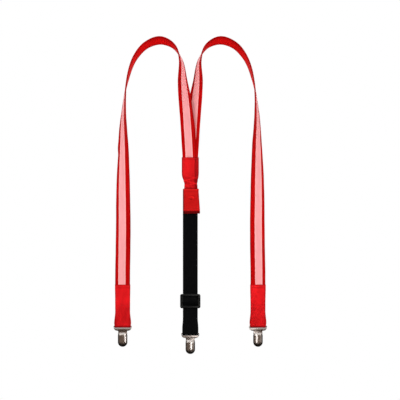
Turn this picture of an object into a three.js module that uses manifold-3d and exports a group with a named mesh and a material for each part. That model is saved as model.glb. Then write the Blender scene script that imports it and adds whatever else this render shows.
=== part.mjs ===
// Light-up suspenders with a Y-shaped back, hanging upright as they do on a display form.
// Millimetres. +Z is up, -Y is the side the striped strap faces look to, +X runs across.
// The origin lies on the mid-plane, level with the tip of the back clip.
import * as THREE from "three";
import { mergeVertices } from "three/addons/utils/BufferGeometryUtils.js";
import Module from "manifold-3d";

const wasm = await Module();
wasm.setup();

// ---- driving dimensions -------------------------------------------------------------------------
const GAP = 0.3; // left between pieces that touch on the real object

// Front straps: satin webbing with a shallow channel, a light guide in it and a sheer tape over it.
const WEB = { width: 25, thickness: 2, channelWidth: 8.6, channelDepth: 1.2 };
const GUIDE = { width: 7.6, thickness: 0.6, outward: 1.3 };
const TAPE = { width: 12, thickness: 0.35 };

// One front strap's centreline from its lower end, over the shoulder arch, to the back junction:
// distance out from the mid-plane, height, distance from the mid-depth at the crossing, the angle
// that the striped face has turned outwards from looking forwards, and how much of the strap's wider
// margin is tucked back as the strap is gathered into the junction.
const STRAP_STATIONS = [
  { out: 113, up: 80, lap: 0, turn: 0, tuck: 0 },
  { out: 113, up: 124, lap: 0, turn: 0, tuck: 0 },
  { out: 112, up: 205, lap: 0, turn: 10, tuck: 0 },
  { out: 112, up: 284, lap: 0, turn: 27, tuck: 0 },
  { out: 111.5, up: 345, lap: 0, turn: 50, tuck: 0 },
  { out: 111, up: 404, lap: 0, turn: 75, tuck: 0 },
  { out: 105.5, up: 455, lap: 0, turn: 95, tuck: 0 },
  { out: 93, up: 493, lap: 0, turn: 107, tuck: 0 },
  { out: 74, up: 515.5, lap: 0, turn: 117, tuck: 0 },
  { out: 50, up: 523.8, lap: 0, turn: 122, tuck: 0 },
  { out: 28, up: 514, lap: 0, turn: 106, tuck: 0 },
  { out: 16, up: 491, lap: 0.8, turn: 79, tuck: 0 },
  { out: 13, up: 455, lap: 3, turn: 50, tuck: 1.2 },
  { out: 8.4, up: 408, lap: 3.8, turn: 20, tuck: 2.5 },
  { out: 4.3, up: 350, lap: 2.4, turn: 4, tuck: 2.5 },
  { out: 3.1, up: 326, lap: 1.7, turn: 0, tuck: 2.5 },
  { out: 3.1, up: 302, lap: 1.7, turn: 0, tuck: 2.5 },
];
// A station is placed wherever one of these has built up since the last one.
const STATION_STEP = { length: 36, turn: 6.5, bend: 14 };

// End sleeves: satin bands folded round the loop bar of a front clip, flared just above the fold.
const END_SLEEVE = {
  top: 116, webEnd: 80, thickness: 1,
  width: 26, waist: 25, flare: 28.4, foldWidth: 27.2,
};
const SIDE_CLIP = { out: 113, axisUp: 46.4 };
const FOLD_RADIUS = 1.35; // inside radius of webbing round a loop bar

// Sleeve over the junction, drawn in to a waist above the battery pouch.
const JUNCTION = {
  top: 329, bottom: 271.5, wall: 0.8,
  halfWidthTop: 14.3, halfWidthBottom: 11.6, halfDepthTop: 4.6, halfDepthBottom: 1.9,
  depthTop: -0.2, depthBottom: -1.1, leanBottom: 1,
  waistUp: 287, waistReach: 9, waistPull: 1.1,
  squareness: 0.22, // 1 would make the section an ellipse, and 0 a rectangle
};

// Battery pouch: its left side hangs plumb and its right side leans out.
const POUCH = {
  bottom: 234.5, top: 276, left: -12.1, rightTop: 14, rightBottom: 16.2,
  wall: 1, back: 2, front: -9.8, mouthFront: -4.4,
};

// Battery case inside the pouch.
const CASE = { x: 1.2, halfWidth: 11.2, bottom: 240, top: 268.5, front: -7.7, rim: -0.6, wall: 1 };
const COVER = { front: -0.3, back: 0.7 };
const CELL = { radius: 10, thickness: 1.6, up: 251.3, backFace: -0.8, pitch: 1.7 };
const BOARD = { front: -5.6, thickness: 0.7, bottom: 242, top: 262.5, halfWidth: 9.9 };
const BUTTON = {
  x: 2.8, up: 260.5, front: -8.5, radius: 2.2,
  flangeFront: -6.55, flangeRadius: 3.2, flangeThickness: 0.4,
};
const SCREW = {
  x: 9.2, up: 265, tip: -4, shankRadius: 0.9,
  headRadius: 1.9, headThickness: 0.5, slotWidth: 0.4, slotDepth: 0.25, bossRadius: 2,
};
const CONTACT = {
  plateWidth: 6, plateHeight: 16, plateBack: -0.42, plateThickness: 0.3,
  springWidth: 5, springThickness: 0.2,
};
const LED = { width: 6, height: 5, thickness: 1.4, bottom: 296, lensRadius: 0.5, lensHeight: 1.2 };
const CABLE = { radius: 0.7, out: 3.6, caseEntryY: -2.2, end: 263.7 };

// Elastic back strap in its own plane behind the pouch, and the adjuster that it weaves through.
const ELASTIC = { width: 25, thickness: 1.5, y: 3, top: 244, split: 195 };
const BACK_CLIP = { axisUp: 34.3 };
// reach is how far above and below the adjuster's middle its own piece of elastic ends.
const ADJUSTER = {
  up: 88.3, width: 34, height: 24, thickness: 2.2,
  bar: 4, side: 3.6, corner: 3.2, slotCorner: 0.8, reach: 13,
};

// Suspender clip, in its own frame: the loop bar's axis is the origin, and the clip hangs below it.
const CLIP = {
  plate: 1.2, barHalf: 0.9, loopWidth: 30, loopSide: 1.1, slotBottom: -3.3, slotCorner: 0.5,
  wingBottom: -7.6, wingCorner: 4.5, neckHalf: 7.4, neckFillet: 1.2, endCentre: -26.3,
};
const PIN = { y: -3.4, z: -12.5, radius: 0.8, half: 7.9, hole: 0.95, looseHole: 1.1 };
const EAR = { inner: 6.7, outer: 7.5, radius: 1.8 };
const LEVER = {
  half: 8, endCentre: -26.3, shoulder: -16, top: -14.6, base: -4.3, rise: 2.7, shell: 0.9, skirt: 0.3,
  barrelHalf: 5.4, barrelRadius: 1.8, bridgeHalf: 4.8,
};
const JAW = {
  half: 6.3, front: -3.7, back: -3, top: -15.2, bottom: -30,
  lip: 1, lipBack: -2.5, ear: 0.6, earRadius: 1.6,
};
const PAD = {
  half: 6.2, front: -2.3, top: -17.5, bottom: -30, corner: 1.5,
  ridges: 3, ridge: 0.3, ridgeHeight: 0.7, ridgePitch: 1.6,
};

// ---- materials ----------------------------------------------------------------------------------
function material(color, roughness, metalness = 0) {
  return new THREE.MeshStandardMaterial({ color, roughness, metalness });
}

const MATERIALS = {
  satin: () => material(0xc01418, 0.5),
  sheer: () => material(0xf5a3a3, 0.45),
  guide: () => material(0xf0d8d4, 0.3),
  elastic: () => material(0x0b0b0b, 0.8),
  plastic: () => material(0x121212, 0.45),
  nickel: () => material(0xc8bfb8, 0.2, 1),
  steel: () => material(0x9a9a9a, 0.35, 1),
  board: () => material(0x1d6b3a, 0.6),
  cable: () => material(0x8c1414, 0.6),
  pad: () => material(0xe8e6e0, 0.6),
};

// ---- geometry helpers ---------------------------------------------------------------------------
function solidOf(geometry) {
  const bare = geometry.clone();
  bare.deleteAttribute("normal");
  bare.deleteAttribute("uv");
  const merged = mergeVertices(bare, 1e-4);
  const vertProperties = new Float32Array(merged.attributes.position.array);
  const triVerts = new Uint32Array(merged.index.array);
  return new wasm.Manifold(new wasm.Mesh({ numProp: 3, vertProperties, triVerts }));
}

function geometryOf(solid) {
  const mesh = solid.getMesh();
  const corners = new THREE.BufferAttribute(new Float32Array(mesh.vertProperties), 3);
  const geometry = new THREE.BufferGeometry();
  geometry.setAttribute("position", corners);
  geometry.setIndex(new THREE.BufferAttribute(new Uint32Array(mesh.triVerts), 1));
  return geometry;
}

const join = (...geometries) => geometries.map(solidOf).reduce((whole, part) => whole.add(part));

function cut(solid, ...geometries) {
  return geometries.map(solidOf).reduce((whole, part) => whole.subtract(part), solid);
}

function block([x0, x1], [y0, y1], [z0, z1]) {
  const geometry = new THREE.BoxGeometry(x1 - x0, y1 - y0, z1 - z0);
  return geometry.translate((x0 + x1) / 2, (y0 + y1) / 2, (z0 + z1) / 2);
}

function rodAcross(radius, [x0, x1], y, z, sides = 16) {
  const geometry = new THREE.CylinderGeometry(radius, radius, x1 - x0, sides);
  return geometry.rotateZ(Math.PI / 2).translate((x0 + x1) / 2, y, z);
}

function rodThrough(radius, x, [y0, y1], z, sides = 24) {
  return new THREE.CylinderGeometry(radius, radius, y1 - y0, sides).translate(x, (y0 + y1) / 2, z);
}

// A plate that shows its outline from the front: shape (x, z), from y0 back to y1.
function plate(shape, [y0, y1], curveSegments = 4) {
  const options = { depth: y1 - y0, bevelEnabled: false, curveSegments };
  return new THREE.ExtrudeGeometry(shape, options).rotateX(Math.PI / 2).translate(0, y1, 0);
}

// Moves each vertex of a geometry to place(vertex).
function reshape(geometry, place) {
  const position = geometry.attributes.position;
  const vertex = new THREE.Vector3();
  for (let i = 0; i < position.count; i += 1) {
    vertex.fromBufferAttribute(position, i);
    const moved = place(vertex);
    position.setXYZ(i, moved.x, moved.y, moved.z);
  }
  return geometry;
}

// Sweeps a flat outline of points (across, outwards) through stations of { centre, across, normal }.
// shift(station, x) gives the place across the strip where the outline's x lies at a station.
function sweep(stations, outline, shift = (station, x) => x) {
  const steps = stations.length - 1;
  const shape = new THREE.Shape(outline.map(([u, n]) => new THREE.Vector2(u, n)));
  const straight = new THREE.ExtrudeGeometry(shape, { depth: steps, steps, bevelEnabled: false });
  return reshape(straight, ({ x, y, z }) => {
    const station = stations[Math.round(z)];
    const moved = station.centre.clone().addScaledVector(station.across, shift(station, x));
    return moved.addScaledVector(station.normal, y);
  });
}

function strip(width, thickness) {
  const [u, n] = [width / 2, thickness / 2];
  return [[-u, -n], [u, -n], [u, n], [-u, n]];
}

// A strip from n0 to n1 with a point in the middle of each face, so that it follows a twist closely.
const twistingStrip = (width, n0, n1, middle) => [
  [middle - width / 2, n0], [middle, n0], [middle + width / 2, n0],
  [middle + width / 2, n1], [middle, n1], [middle - width / 2, n1],
];

const smooth = (value, low, high) => THREE.MathUtils.smoothstep(value, low, high);
const mix = THREE.MathUtils.lerp;
const pair = (half) => [-half, half];

// ---- front straps -------------------------------------------------------------------------------
const FORWARDS = new THREE.Vector3(0, -1, 0);

// side is -1 for the left strap, which lies in front at the crossing, and +1 for the right one.
function strapStations(side) {
  const place = ({ out, up, lap }) => new THREE.Vector3(side * out, side * lap, up);
  const turns = STRAP_STATIONS.map(({ turn, tuck }) => new THREE.Vector3(turn, tuck, 0));
  const centreline = new THREE.CatmullRomCurve3(STRAP_STATIONS.map(place));
  const turning = new THREE.CatmullRomCurve3(turns, false, "catmullrom");
  const stationAt = (t) => {
    const tangent = centreline.getTangent(t);
    const { x: turn, y: tuck } = turning.getPoint(t);
    const angle = THREE.MathUtils.degToRad(turn);
    const normal = new THREE.Vector3(side * tangent.z, 0, -side * tangent.x); // outwards
    normal.multiplyScalar(Math.sin(angle)).addScaledVector(FORWARDS, Math.cos(angle));
    normal.addScaledVector(tangent, -normal.dot(tangent)).normalize();
    const across = new THREE.Vector3().crossVectors(normal, tangent);
    return { centre: centreline.getPoint(t), across, normal, tangent, turn, tuck };
  };
  const samples = 800;
  const stations = [stationAt(0)];
  let last = stations[0];
  let owed = 0;
  for (let i = 1; i <= samples; i += 1) {
    const next = stationAt(i / samples);
    owed += next.centre.distanceTo(last.centre) / STATION_STEP.length;
    owed += Math.abs(next.turn - last.turn) / STATION_STEP.turn;
    owed += THREE.MathUtils.radToDeg(next.tangent.angleTo(last.tangent)) / STATION_STEP.bend;
    if (owed >= 1 || i === samples) {
      stations.push(next);
      owed = 0;
    }
    last = next;
  }
  return stations;
}

const channelMiddle = (side) => -side * GUIDE.outward;

function webOutline(side) {
  const [half, face] = [WEB.width / 2, WEB.thickness / 2];
  const floor = face - WEB.channelDepth;
  const middle = channelMiddle(side);
  const left = middle - WEB.channelWidth / 2;
  const right = middle + WEB.channelWidth / 2;
  return [[-half, -face], [half, -face], [half, face], [right, face], [right, floor], [middle, floor],
    [left, floor], [left, face], [-half, face]];
}

// The edge of the wider margin moves in by the tuck, and the rest of the strap keeps its place.
function strapWeb(side, stations) {
  const tuckedEdge = (side * WEB.width) / 2;
  const shift = ({ tuck }, x) => (x === tuckedEdge ? x - side * tuck : x);
  return sweep(stations, webOutline(side), shift);
}

function guideOutline(side) {
  const floor = WEB.thickness / 2 - WEB.channelDepth + GAP;
  return twistingStrip(GUIDE.width, floor, floor + GUIDE.thickness, channelMiddle(side));
}

function tapeOutline(side) {
  const under = WEB.thickness / 2 + GAP;
  return twistingStrip(TAPE.width, under, under + TAPE.thickness, channelMiddle(side));
}

// ---- bands in the plane of depth and height -----------------------------------------------------
// Stations along a curve through points (y, z) at a distance x across, with widthAt(z) as a factor.
function bandStations(points, x, segments, widthAt = () => 1) {
  const curve = new THREE.CatmullRomCurve3(points.map(([y, z]) => new THREE.Vector3(x, y, z)));
  const xAxis = new THREE.Vector3(1, 0, 0);
  return Array.from({ length: segments + 1 }, (_, i) => {
    const centre = curve.getPoint(i / segments);
    const normal = new THREE.Vector3().crossVectors(curve.getTangent(i / segments), xAxis).normalize();
    return { centre, across: xAxis.clone().multiplyScalar(widthAt(centre.z)), normal };
  });
}

// The half circle under a loop bar, from the front round to the back.
function foldPoints(radius, y, z) {
  const steps = 6;
  return Array.from({ length: steps + 1 }, (_, i) => {
    const angle = Math.PI + (Math.PI * i) / steps;
    return [y + radius * Math.cos(angle), z + radius * Math.sin(angle)];
  });
}

function endSleeve(side) {
  const { top, webEnd, thickness, width, waist, flare, foldWidth } = END_SLEEVE;
  const axis = SIDE_CLIP.axisUp;
  const front = WEB.thickness / 2 + GAP + TAPE.thickness + GAP + thickness / 2;
  const back = WEB.thickness / 2 + GAP + thickness / 2;
  const radius = FOLD_RADIUS + thickness / 2;
  const near = axis + 4;
  const points = [
    [-front, top], [-front, webEnd], [-radius, near],
    ...foldPoints(radius, 0, axis),
    [radius, near], [back, webEnd], [back, top],
  ];
  const widthAt = (z) => {
    const upper = mix(waist, width, smooth(z, webEnd, top));
    const lower = mix(flare, upper, smooth(z, near, webEnd - 8));
    return mix(foldWidth, lower, smooth(z, axis, near + 2)) / width;
  };
  return sweep(bandStations(points, side * SIDE_CLIP.out, 36, widthAt), strip(width, thickness));
}

// ---- junction sleeve and battery pouch ----------------------------------------------------------
// A closed tube with a rounded-box section; grow moves its surface out, and over lengthens both ends.
function junctionTube(grow, over) {
  const { top, bottom, halfWidthTop, halfWidthBottom, halfDepthTop, halfDepthBottom } = JUNCTION;
  const { depthTop, depthBottom, leanBottom, waistUp, waistReach, waistPull, squareness } = JUNCTION;
  // Sines that should be exactly 0 are made so, or the power would open the seam.
  const squarer = (value) => {
    const size = Math.abs(value);
    return size < 1e-9 ? 0 : Math.sign(value) * size ** squareness;
  };
  const tube = new THREE.CylinderGeometry(1, 1, top - bottom + 2 * over, 20, 9);
  tube.rotateX(Math.PI / 2).translate(0, 0, (top + bottom) / 2);
  return reshape(tube, ({ x, y, z }) => {
    const open = smooth(z, waistUp - 7, waistUp + 13);
    const pull = waistPull * Math.exp(-(((z - waistUp) / waistReach) ** 2));
    const halfWidth = mix(halfWidthBottom, halfWidthTop, open) - pull + grow;
    const halfDepth = mix(halfDepthBottom, halfDepthTop, smooth(z, waistUp - 3, waistUp + 12)) + grow;
    const [middleX, middleY] = [mix(leanBottom, 0, open), mix(depthBottom, depthTop, open)];
    return new THREE.Vector3(middleX + halfWidth * squarer(x), middleY + halfDepth * squarer(y), z);
  });
}

function junctionSleeve() {
  return geometryOf(cut(solidOf(junctionTube(0, 0)), junctionTube(-JUNCTION.wall, 1)));
}

// The pouch as seen from its side, drawn in by inset: its front slopes down from the mouth at the top
// and rounds under at the bottom.
function pouchProfile(inset, mouthRise) {
  const { bottom, top, back, front, mouthFront } = POUCH;
  const floor = bottom + 1.3 * inset;
  const mouth = top + mouthRise;
  return [
    [back - inset, floor],
    [back - inset, mouth],
    [mouthFront + inset, mouth],
    [front + 1.4 + inset, top - 5 - 0.6 * inset],
    [front + inset, top - 9.5],
    [front + inset, bottom + 7 + 0.3 * inset],
    [front + 1 + 0.8 * inset, bottom + 4.1 + 0.8 * inset],
    [-6 + 0.5 * inset, bottom + 2.1 + inset],
    [-1, floor],
  ];
}

function pouchSolid(inset, mouthRise) {
  const { bottom, top, left, rightTop, rightBottom } = POUCH;
  const corners = pouchProfile(inset, mouthRise).map(([y, z]) => new THREE.Vector2(y, z));
  const shape = new THREE.Shape(corners);
  const upright = new THREE.ExtrudeGeometry(shape, { depth: 1, bevelEnabled: false });
  return reshape(upright, ({ x, y, z }) => {
    const right = mix(rightBottom, rightTop, smooth(y, bottom, top));
    return new THREE.Vector3(mix(left + inset, right - inset, z), x, y);
  });
}

const batteryPouch = () => geometryOf(cut(solidOf(pouchSolid(0, 0)), pouchSolid(POUCH.wall, 1)));

// ---- inside the pouch ---------------------------------------------------------------------------
const caseSpan = (inset) => [CASE.x - CASE.halfWidth + inset, CASE.x + CASE.halfWidth - inset];

function batteryCase() {
  const { bottom, top, front, rim, wall } = CASE;
  const shell = cut(
    solidOf(block(caseSpan(0), [front, rim], [bottom, top])),
    block(caseSpan(wall), [front + wall, rim + 1], [bottom + wall, top - wall]),
    rodThrough(BUTTON.radius + GAP, BUTTON.x, [front - 1, front + wall + 0.5], BUTTON.up),
    ...[-1, 1].map((side) => cableHole(side)),
  );
  const boss = rodThrough(SCREW.bossRadius, SCREW.x, [front + wall / 2, rim - 0.1], SCREW.up);
  const screwHole = rodThrough(SCREW.shankRadius + GAP, SCREW.x, [SCREW.tip - 1, 0], SCREW.up);
  return geometryOf(cut(shell.add(solidOf(boss)), screwHole));
}

const boardMiddle = BOARD.front + BOARD.thickness / 2;

function cableHole(side) {
  const radius = CABLE.radius + 2 * GAP;
  const hole = new THREE.CylinderGeometry(radius, radius, 3, 16).rotateX(Math.PI / 2);
  return hole.translate(CASE.x + side * CABLE.out, CABLE.caseEntryY, CASE.top - CASE.wall / 2);
}

function batteryCover() {
  const { bottom, top } = CASE;
  const lid = solidOf(block(caseSpan(0), [COVER.front, COVER.back], [bottom, top]));
  return geometryOf(cut(
    lid,
    rodThrough(SCREW.shankRadius + GAP, SCREW.x, [-1, 1], SCREW.up),
    rodThrough(SCREW.headRadius + GAP, SCREW.x, [COVER.back - SCREW.headThickness - 0.2, 1], SCREW.up),
  ));
}

function coverScrew() {
  const { x, up, tip, shankRadius, headRadius, headThickness, slotWidth, slotDepth } = SCREW;
  const headBack = COVER.back - 0.1;
  const head = rodThrough(headRadius, x, [headBack - headThickness, headBack], up);
  const shank = rodThrough(shankRadius, x, [tip, headBack - 0.2], up);
  const slotReach = headRadius - 0.5;
  const slot = block(
    [x - slotReach, x + slotReach],
    [headBack - slotDepth, headBack + 1],
    [up - slotWidth / 2, up + slotWidth / 2],
  );
  return geometryOf(cut(join(head, shank), slot));
}

function coinCell(index) {
  const back = CELL.backFace - index * CELL.pitch;
  return rodThrough(CELL.radius, CASE.x, [back - CELL.thickness, back], CELL.up, 36);
}

function contactPlate() {
  const { plateWidth, plateHeight, plateBack, plateThickness } = CONTACT;
  return block(
    [CASE.x - plateWidth / 2, CASE.x + plateWidth / 2],
    [plateBack - plateThickness, plateBack],
    [CELL.up - plateHeight / 2, CELL.up + plateHeight / 2],
  );
}

// A shallow bow of spring sheet between the board and the front cell.
function contactSpring() {
  const end = BOARD.front + BOARD.thickness + GAP;
  const points = [[end, CELL.up - 7], [end + 0.25, CELL.up - 3], [end, CELL.up + 1]];
  return sweep(bandStations(points, CASE.x, 8), strip(CONTACT.springWidth, CONTACT.springThickness));
}

function circuitBoard() {
  return block(
    [CASE.x - BOARD.halfWidth, CASE.x + BOARD.halfWidth],
    [BOARD.front, BOARD.front + BOARD.thickness],
    [BOARD.bottom, BOARD.top],
  );
}

function modeButton() {
  const { x, up, radius, flangeRadius, flangeThickness, front, flangeFront } = BUTTON;
  const flangeBack = flangeFront + flangeThickness;
  const stem = rodThrough(radius, x, [front, flangeBack], up);
  return geometryOf(join(stem, rodThrough(flangeRadius, x, [flangeFront, flangeBack], up)));
}

const stackEnd = STRAP_STATIONS[STRAP_STATIONS.length - 1];
const ledPlace = (side) => ({ x: side * (stackEnd.out - GUIDE.outward), y: side * stackEnd.lap });

function ledModule(side) {
  const { x, y } = ledPlace(side);
  const top = LED.bottom + LED.height;
  const holder = block(
    [x - LED.width / 2, x + LED.width / 2],
    [y - LED.thickness / 2, y + LED.thickness / 2],
    [LED.bottom, top],
  );
  const lens = new THREE.CylinderGeometry(LED.lensRadius, LED.lensRadius + 0.1, LED.lensHeight, 12);
  return geometryOf(join(holder, lens.rotateX(Math.PI / 2).translate(x, y, top + 0.1)));
}

function ledCable(side) {
  const { x, y } = ledPlace(side);
  const entry = CASE.x + side * CABLE.out;
  const path = new THREE.CatmullRomCurve3([
    new THREE.Vector3(x, y, LED.bottom - GAP),
    new THREE.Vector3(mix(x, entry, 0.4), JUNCTION.depthBottom, JUNCTION.waistUp),
    new THREE.Vector3(entry, JUNCTION.depthBottom, POUCH.top - 2),
    new THREE.Vector3(entry, CABLE.caseEntryY, CASE.top - CASE.wall / 2),
    new THREE.Vector3(entry, boardMiddle, CABLE.end),
  ]);
  const section = new THREE.Shape().absarc(0, 0, CABLE.radius, 0, 2 * Math.PI);
  const options = { steps: 16, extrudePath: path, bevelEnabled: false, curveSegments: 3 };
  return new THREE.ExtrudeGeometry(section, options);
}

// ---- back strap and adjuster --------------------------------------------------------------------
const elasticOutline = strip(ELASTIC.width, ELASTIC.thickness);
const weave = ADJUSTER.thickness / 2 + GAP + ELASTIC.thickness / 2; // strap middle to frame middle
const returnLay = weave + ELASTIC.thickness + 1.5 * GAP; // the returning layer lies behind that

// Points given relative to the adjuster's middle.
const elasticBand = (points, segments) => sweep(
  bandStations(points.map(([y, z]) => [ELASTIC.y + y, ADJUSTER.up + z]), 0, segments), elasticOutline);

function backStrapUpper() {
  const [low, high] = [ELASTIC.split + GAP - ADJUSTER.up, ELASTIC.top - ADJUSTER.up];
  return elasticBand([[0, high], [0, low]], 4);
}

function backStrapMiddle() {
  const { reach } = ADJUSTER;
  const high = ELASTIC.split - ADJUSTER.up;
  return elasticBand([[0, high], [0, reach + 40], [0.3 * weave, reach + 14], [weave, reach + GAP]], 12);
}

function backStrapWrap() {
  const { reach, height, bar } = ADJUSTER;
  const inside = height / 2 - bar;
  const half = [[weave, reach], [weave, inside - 0.2], [-weave, bar / 2 + 0.2]];
  const mirrored = half.map(([y, z]) => [y, -z]).reverse();
  return elasticBand([...half, ...mirrored], 30);
}

function backStrapLoop() {
  const { reach, bar } = ADJUSTER;
  const fold = BACK_CLIP.axisUp - ADJUSTER.up;
  const radius = FOLD_RADIUS + ELASTIC.thickness / 2;
  return elasticBand([
    [weave, -reach - GAP], [0.4 * weave, -reach - 14], [-radius, fold + 6],
    ...foldPoints(radius, 0, fold),
    [radius, fold + 6], [returnLay, -reach - 4], [returnLay, -reach + 4.5],
    [weave + GAP, -bar / 2], [weave + GAP, bar / 2],
  ], 44);
}

function roundedRectangle(target, halfWidth, halfHeight, radius, z = 0) {
  target.moveTo(-halfWidth + radius, z - halfHeight);
  target.lineTo(halfWidth - radius, z - halfHeight);
  target.absarc(halfWidth - radius, z - halfHeight + radius, radius, -Math.PI / 2, 0);
  target.absarc(halfWidth - radius, z + halfHeight - radius, radius, 0, Math.PI / 2);
  target.absarc(-halfWidth + radius, z + halfHeight - radius, radius, Math.PI / 2, Math.PI);
  target.absarc(-halfWidth + radius, z - halfHeight + radius, radius, Math.PI, 1.5 * Math.PI);
  return target;
}

function strapAdjuster() {
  const { width, height, thickness, bar, side, corner, slotCorner } = ADJUSTER;
  const frame = roundedRectangle(new THREE.Shape(), width / 2, height / 2, corner);
  const slotHalf = (height - 3 * bar) / 4;
  for (const z of pair(bar / 2 + slotHalf)) {
    frame.holes.push(roundedRectangle(new THREE.Path(), width / 2 - side, slotHalf, slotCorner, z));
  }
  return plate(frame, pair(thickness / 2), 4);
}

// ---- suspender clip -----------------------------------------------------------------------------
function clipOutline() {
  const { barHalf, loopWidth, wingBottom, wingCorner, neckHalf, neckFillet: fillet, endCentre } = CLIP;
  const half = loopWidth / 2;
  const outline = new THREE.Shape();
  outline.moveTo(-half + barHalf, barHalf);
  outline.quadraticCurveTo(-half, barHalf, -half, 0);
  outline.lineTo(-half, wingBottom + wingCorner);
  outline.quadraticCurveTo(-half, wingBottom, -half + wingCorner, wingBottom);
  outline.lineTo(-neckHalf - fillet, wingBottom);
  outline.quadraticCurveTo(-neckHalf, wingBottom, -neckHalf, wingBottom - fillet);
  outline.lineTo(-neckHalf, endCentre);
  outline.absarc(0, endCentre, neckHalf, Math.PI, 2 * Math.PI);
  outline.lineTo(neckHalf, wingBottom - fillet);
  outline.quadraticCurveTo(neckHalf, wingBottom, neckHalf + fillet, wingBottom);
  outline.lineTo(half - wingCorner, wingBottom);
  outline.quadraticCurveTo(half, wingBottom, half, wingBottom + wingCorner);
  outline.lineTo(half, 0);
  outline.quadraticCurveTo(half, barHalf, half - barHalf, barHalf);
  return outline;
}

// An ear round the pin, from the pin to the plane y = foot, on the side of +x or -x.
function ear(side, [inner, outer], radius, foot, bottom) {
  const across = side > 0 ? [inner, outer] : [-outer, -inner];
  const eye = rodAcross(radius, across, PIN.y, PIN.z, 20);
  return [eye, block(across, [PIN.y, foot], [bottom, PIN.z + radius])];
}

function clipFrame() {
  const { plate: thickness, barHalf, loopWidth, loopSide, slotBottom, slotCorner } = CLIP;
  const { inner, outer, radius } = EAR;
  const outline = clipOutline();
  const slotHalf = (-slotBottom - barHalf) / 2;
  const slot = roundedRectangle(
    new THREE.Path(), loopWidth / 2 - loopSide, slotHalf, slotCorner, -barHalf - slotHalf);
  outline.holes.push(slot);
  const ears = [-1, 1].flatMap((side) => ear(side, [inner, outer], radius, 0, PIN.z - radius));
  const body = join(plate(outline, pair(thickness / 2)), ...ears);
  return geometryOf(cut(body, rodAcross(PIN.hole, pair(outer + 1), PIN.y, PIN.z)));
}

const clipPin = () => rodAcross(PIN.radius, pair(PIN.half), PIN.y, PIN.z);

// A long dome, drawn in by inset, as a solid that is flat at the back.
function leverDome(inset) {
  const { half, endCentre, shoulder, rise, base } = LEVER;
  const radius = half - inset;
  const dome = new THREE.CapsuleGeometry(radius, shoulder - endCentre, 5, 20);
  dome.rotateX(Math.PI / 2).scale(1, (rise - inset) / radius, 1);
  return dome.translate(0, base, (shoulder + endCentre) / 2);
}

function leverSkirt(inset, [y0, y1]) {
  const { half, endCentre, top } = LEVER;
  const radius = half - inset;
  const outline = new THREE.Shape().moveTo(-radius, top + 1).lineTo(-radius, endCentre);
  outline.absarc(0, endCentre, radius, Math.PI, 2 * Math.PI).lineTo(radius, top + 1);
  return plate(outline, [y0, y1], 12);
}

function clipLever() {
  const { half, top, base, shell, skirt, barrelHalf, barrelRadius, bridgeHalf, rise } = LEVER;
  const front = block(pair(half + 1), [base - rise - 1, base], [LEVER.endCentre - half - 1, top]);
  const low = block(pair(half + 1), [base - 1, base + skirt + 1], [LEVER.endCentre - half - 1, top]);
  const outer = solidOf(leverDome(0)).intersect(solidOf(front));
  const rim = solidOf(leverSkirt(0, [base - 0.01, base + skirt])).intersect(solidOf(low));
  const hollow = [leverDome(shell), leverSkirt(shell, [base - 0.01, base + skirt + 1])];
  const cup = cut(outer.add(rim), ...hollow);
  const barrel = rodAcross(barrelRadius, pair(barrelHalf), PIN.y, PIN.z, 24);
  const bridge = block(pair(bridgeHalf), [base - rise + 0.65, base + 0.3], [top - 0.7, PIN.z - 0.5]);
  const cam = block(pair(bridgeHalf), [PIN.y - 0.5, PIN.y + 0.5], [JAW.top + GAP, PIN.z]);
  const whole = cup.add(join(barrel, bridge, cam));
  return geometryOf(cut(whole, rodAcross(PIN.looseHole, pair(barrelHalf + 1), PIN.y, PIN.z)));
}

function clipJaw() {
  const { half, ear: earWidth, front, back, top, bottom, lip, lipBack, earRadius } = JAW;
  const across = [half - earWidth, half];
  const ears = [-1, 1].flatMap((side) => ear(side, across, earRadius, back, top - 0.2));
  const tongue = block(pair(half), [front, back], [bottom, top]);
  const tip = block(pair(half), [front, lipBack], [bottom - lip, bottom]);
  const pinHole = rodAcross(PIN.looseHole, pair(half + 1), PIN.y, PIN.z);
  return geometryOf(cut(join(tongue, tip, ...ears), pinHole));
}

function clipPad() {
  const { half, front, top, bottom, corner, ridge, ridgeHeight, ridgePitch, ridges } = PAD;
  const [middle, halfHeight] = [(top + bottom) / 2, (top - bottom) / 2];
  const outline = roundedRectangle(new THREE.Shape(), half, halfHeight, corner, middle);
  const rows = Array.from({ length: ridges }, (_, i) => {
    const low = bottom + 1 + i * ridgePitch;
    return block(pair(half - 1), [front - ridge, front + 0.1], [low, low + ridgeHeight]);
  });
  return geometryOf(join(plate(outline, [front, -CLIP.plate / 2 - GAP], 3), ...rows));
}

// ---- assembly -----------------------------------------------------------------------------------
const suspenders = new THREE.Group();
suspenders.name = "suspenders";

function place(group, name, geometry, look) {
  const mesh = new THREE.Mesh(geometry, MATERIALS[look]());
  mesh.name = name;
  group.add(mesh);
}

function addClip(name, x, y, z) {
  const clip = new THREE.Group();
  clip.position.set(x, y, z);
  place(clip, `${name}_clip_frame`, clipFrame(), "nickel");
  place(clip, `${name}_clip_pin`, clipPin(), "steel");
  place(clip, `${name}_clip_lever`, clipLever(), "nickel");
  place(clip, `${name}_clip_jaw`, clipJaw(), "nickel");
  place(clip, `${name}_clip_pad`, clipPad(), "pad");
  suspenders.add(clip);
}

for (const [name, side] of [["left", -1], ["right", 1]]) {
  const stations = strapStations(side);
  place(suspenders, `${name}_strap_web`, strapWeb(side, stations), "satin");
  place(suspenders, `${name}_light_guide`, sweep(stations, guideOutline(side)), "guide");
  place(suspenders, `${name}_window_tape`, sweep(stations, tapeOutline(side)), "sheer");
  place(suspenders, `${name}_end_sleeve`, endSleeve(side), "satin");
  place(suspenders, `${name}_led_module`, ledModule(side), "board");
  place(suspenders, `${name}_led_cable`, ledCable(side), "cable");
  addClip(name, side * SIDE_CLIP.out, 0, SIDE_CLIP.axisUp);
}

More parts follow.
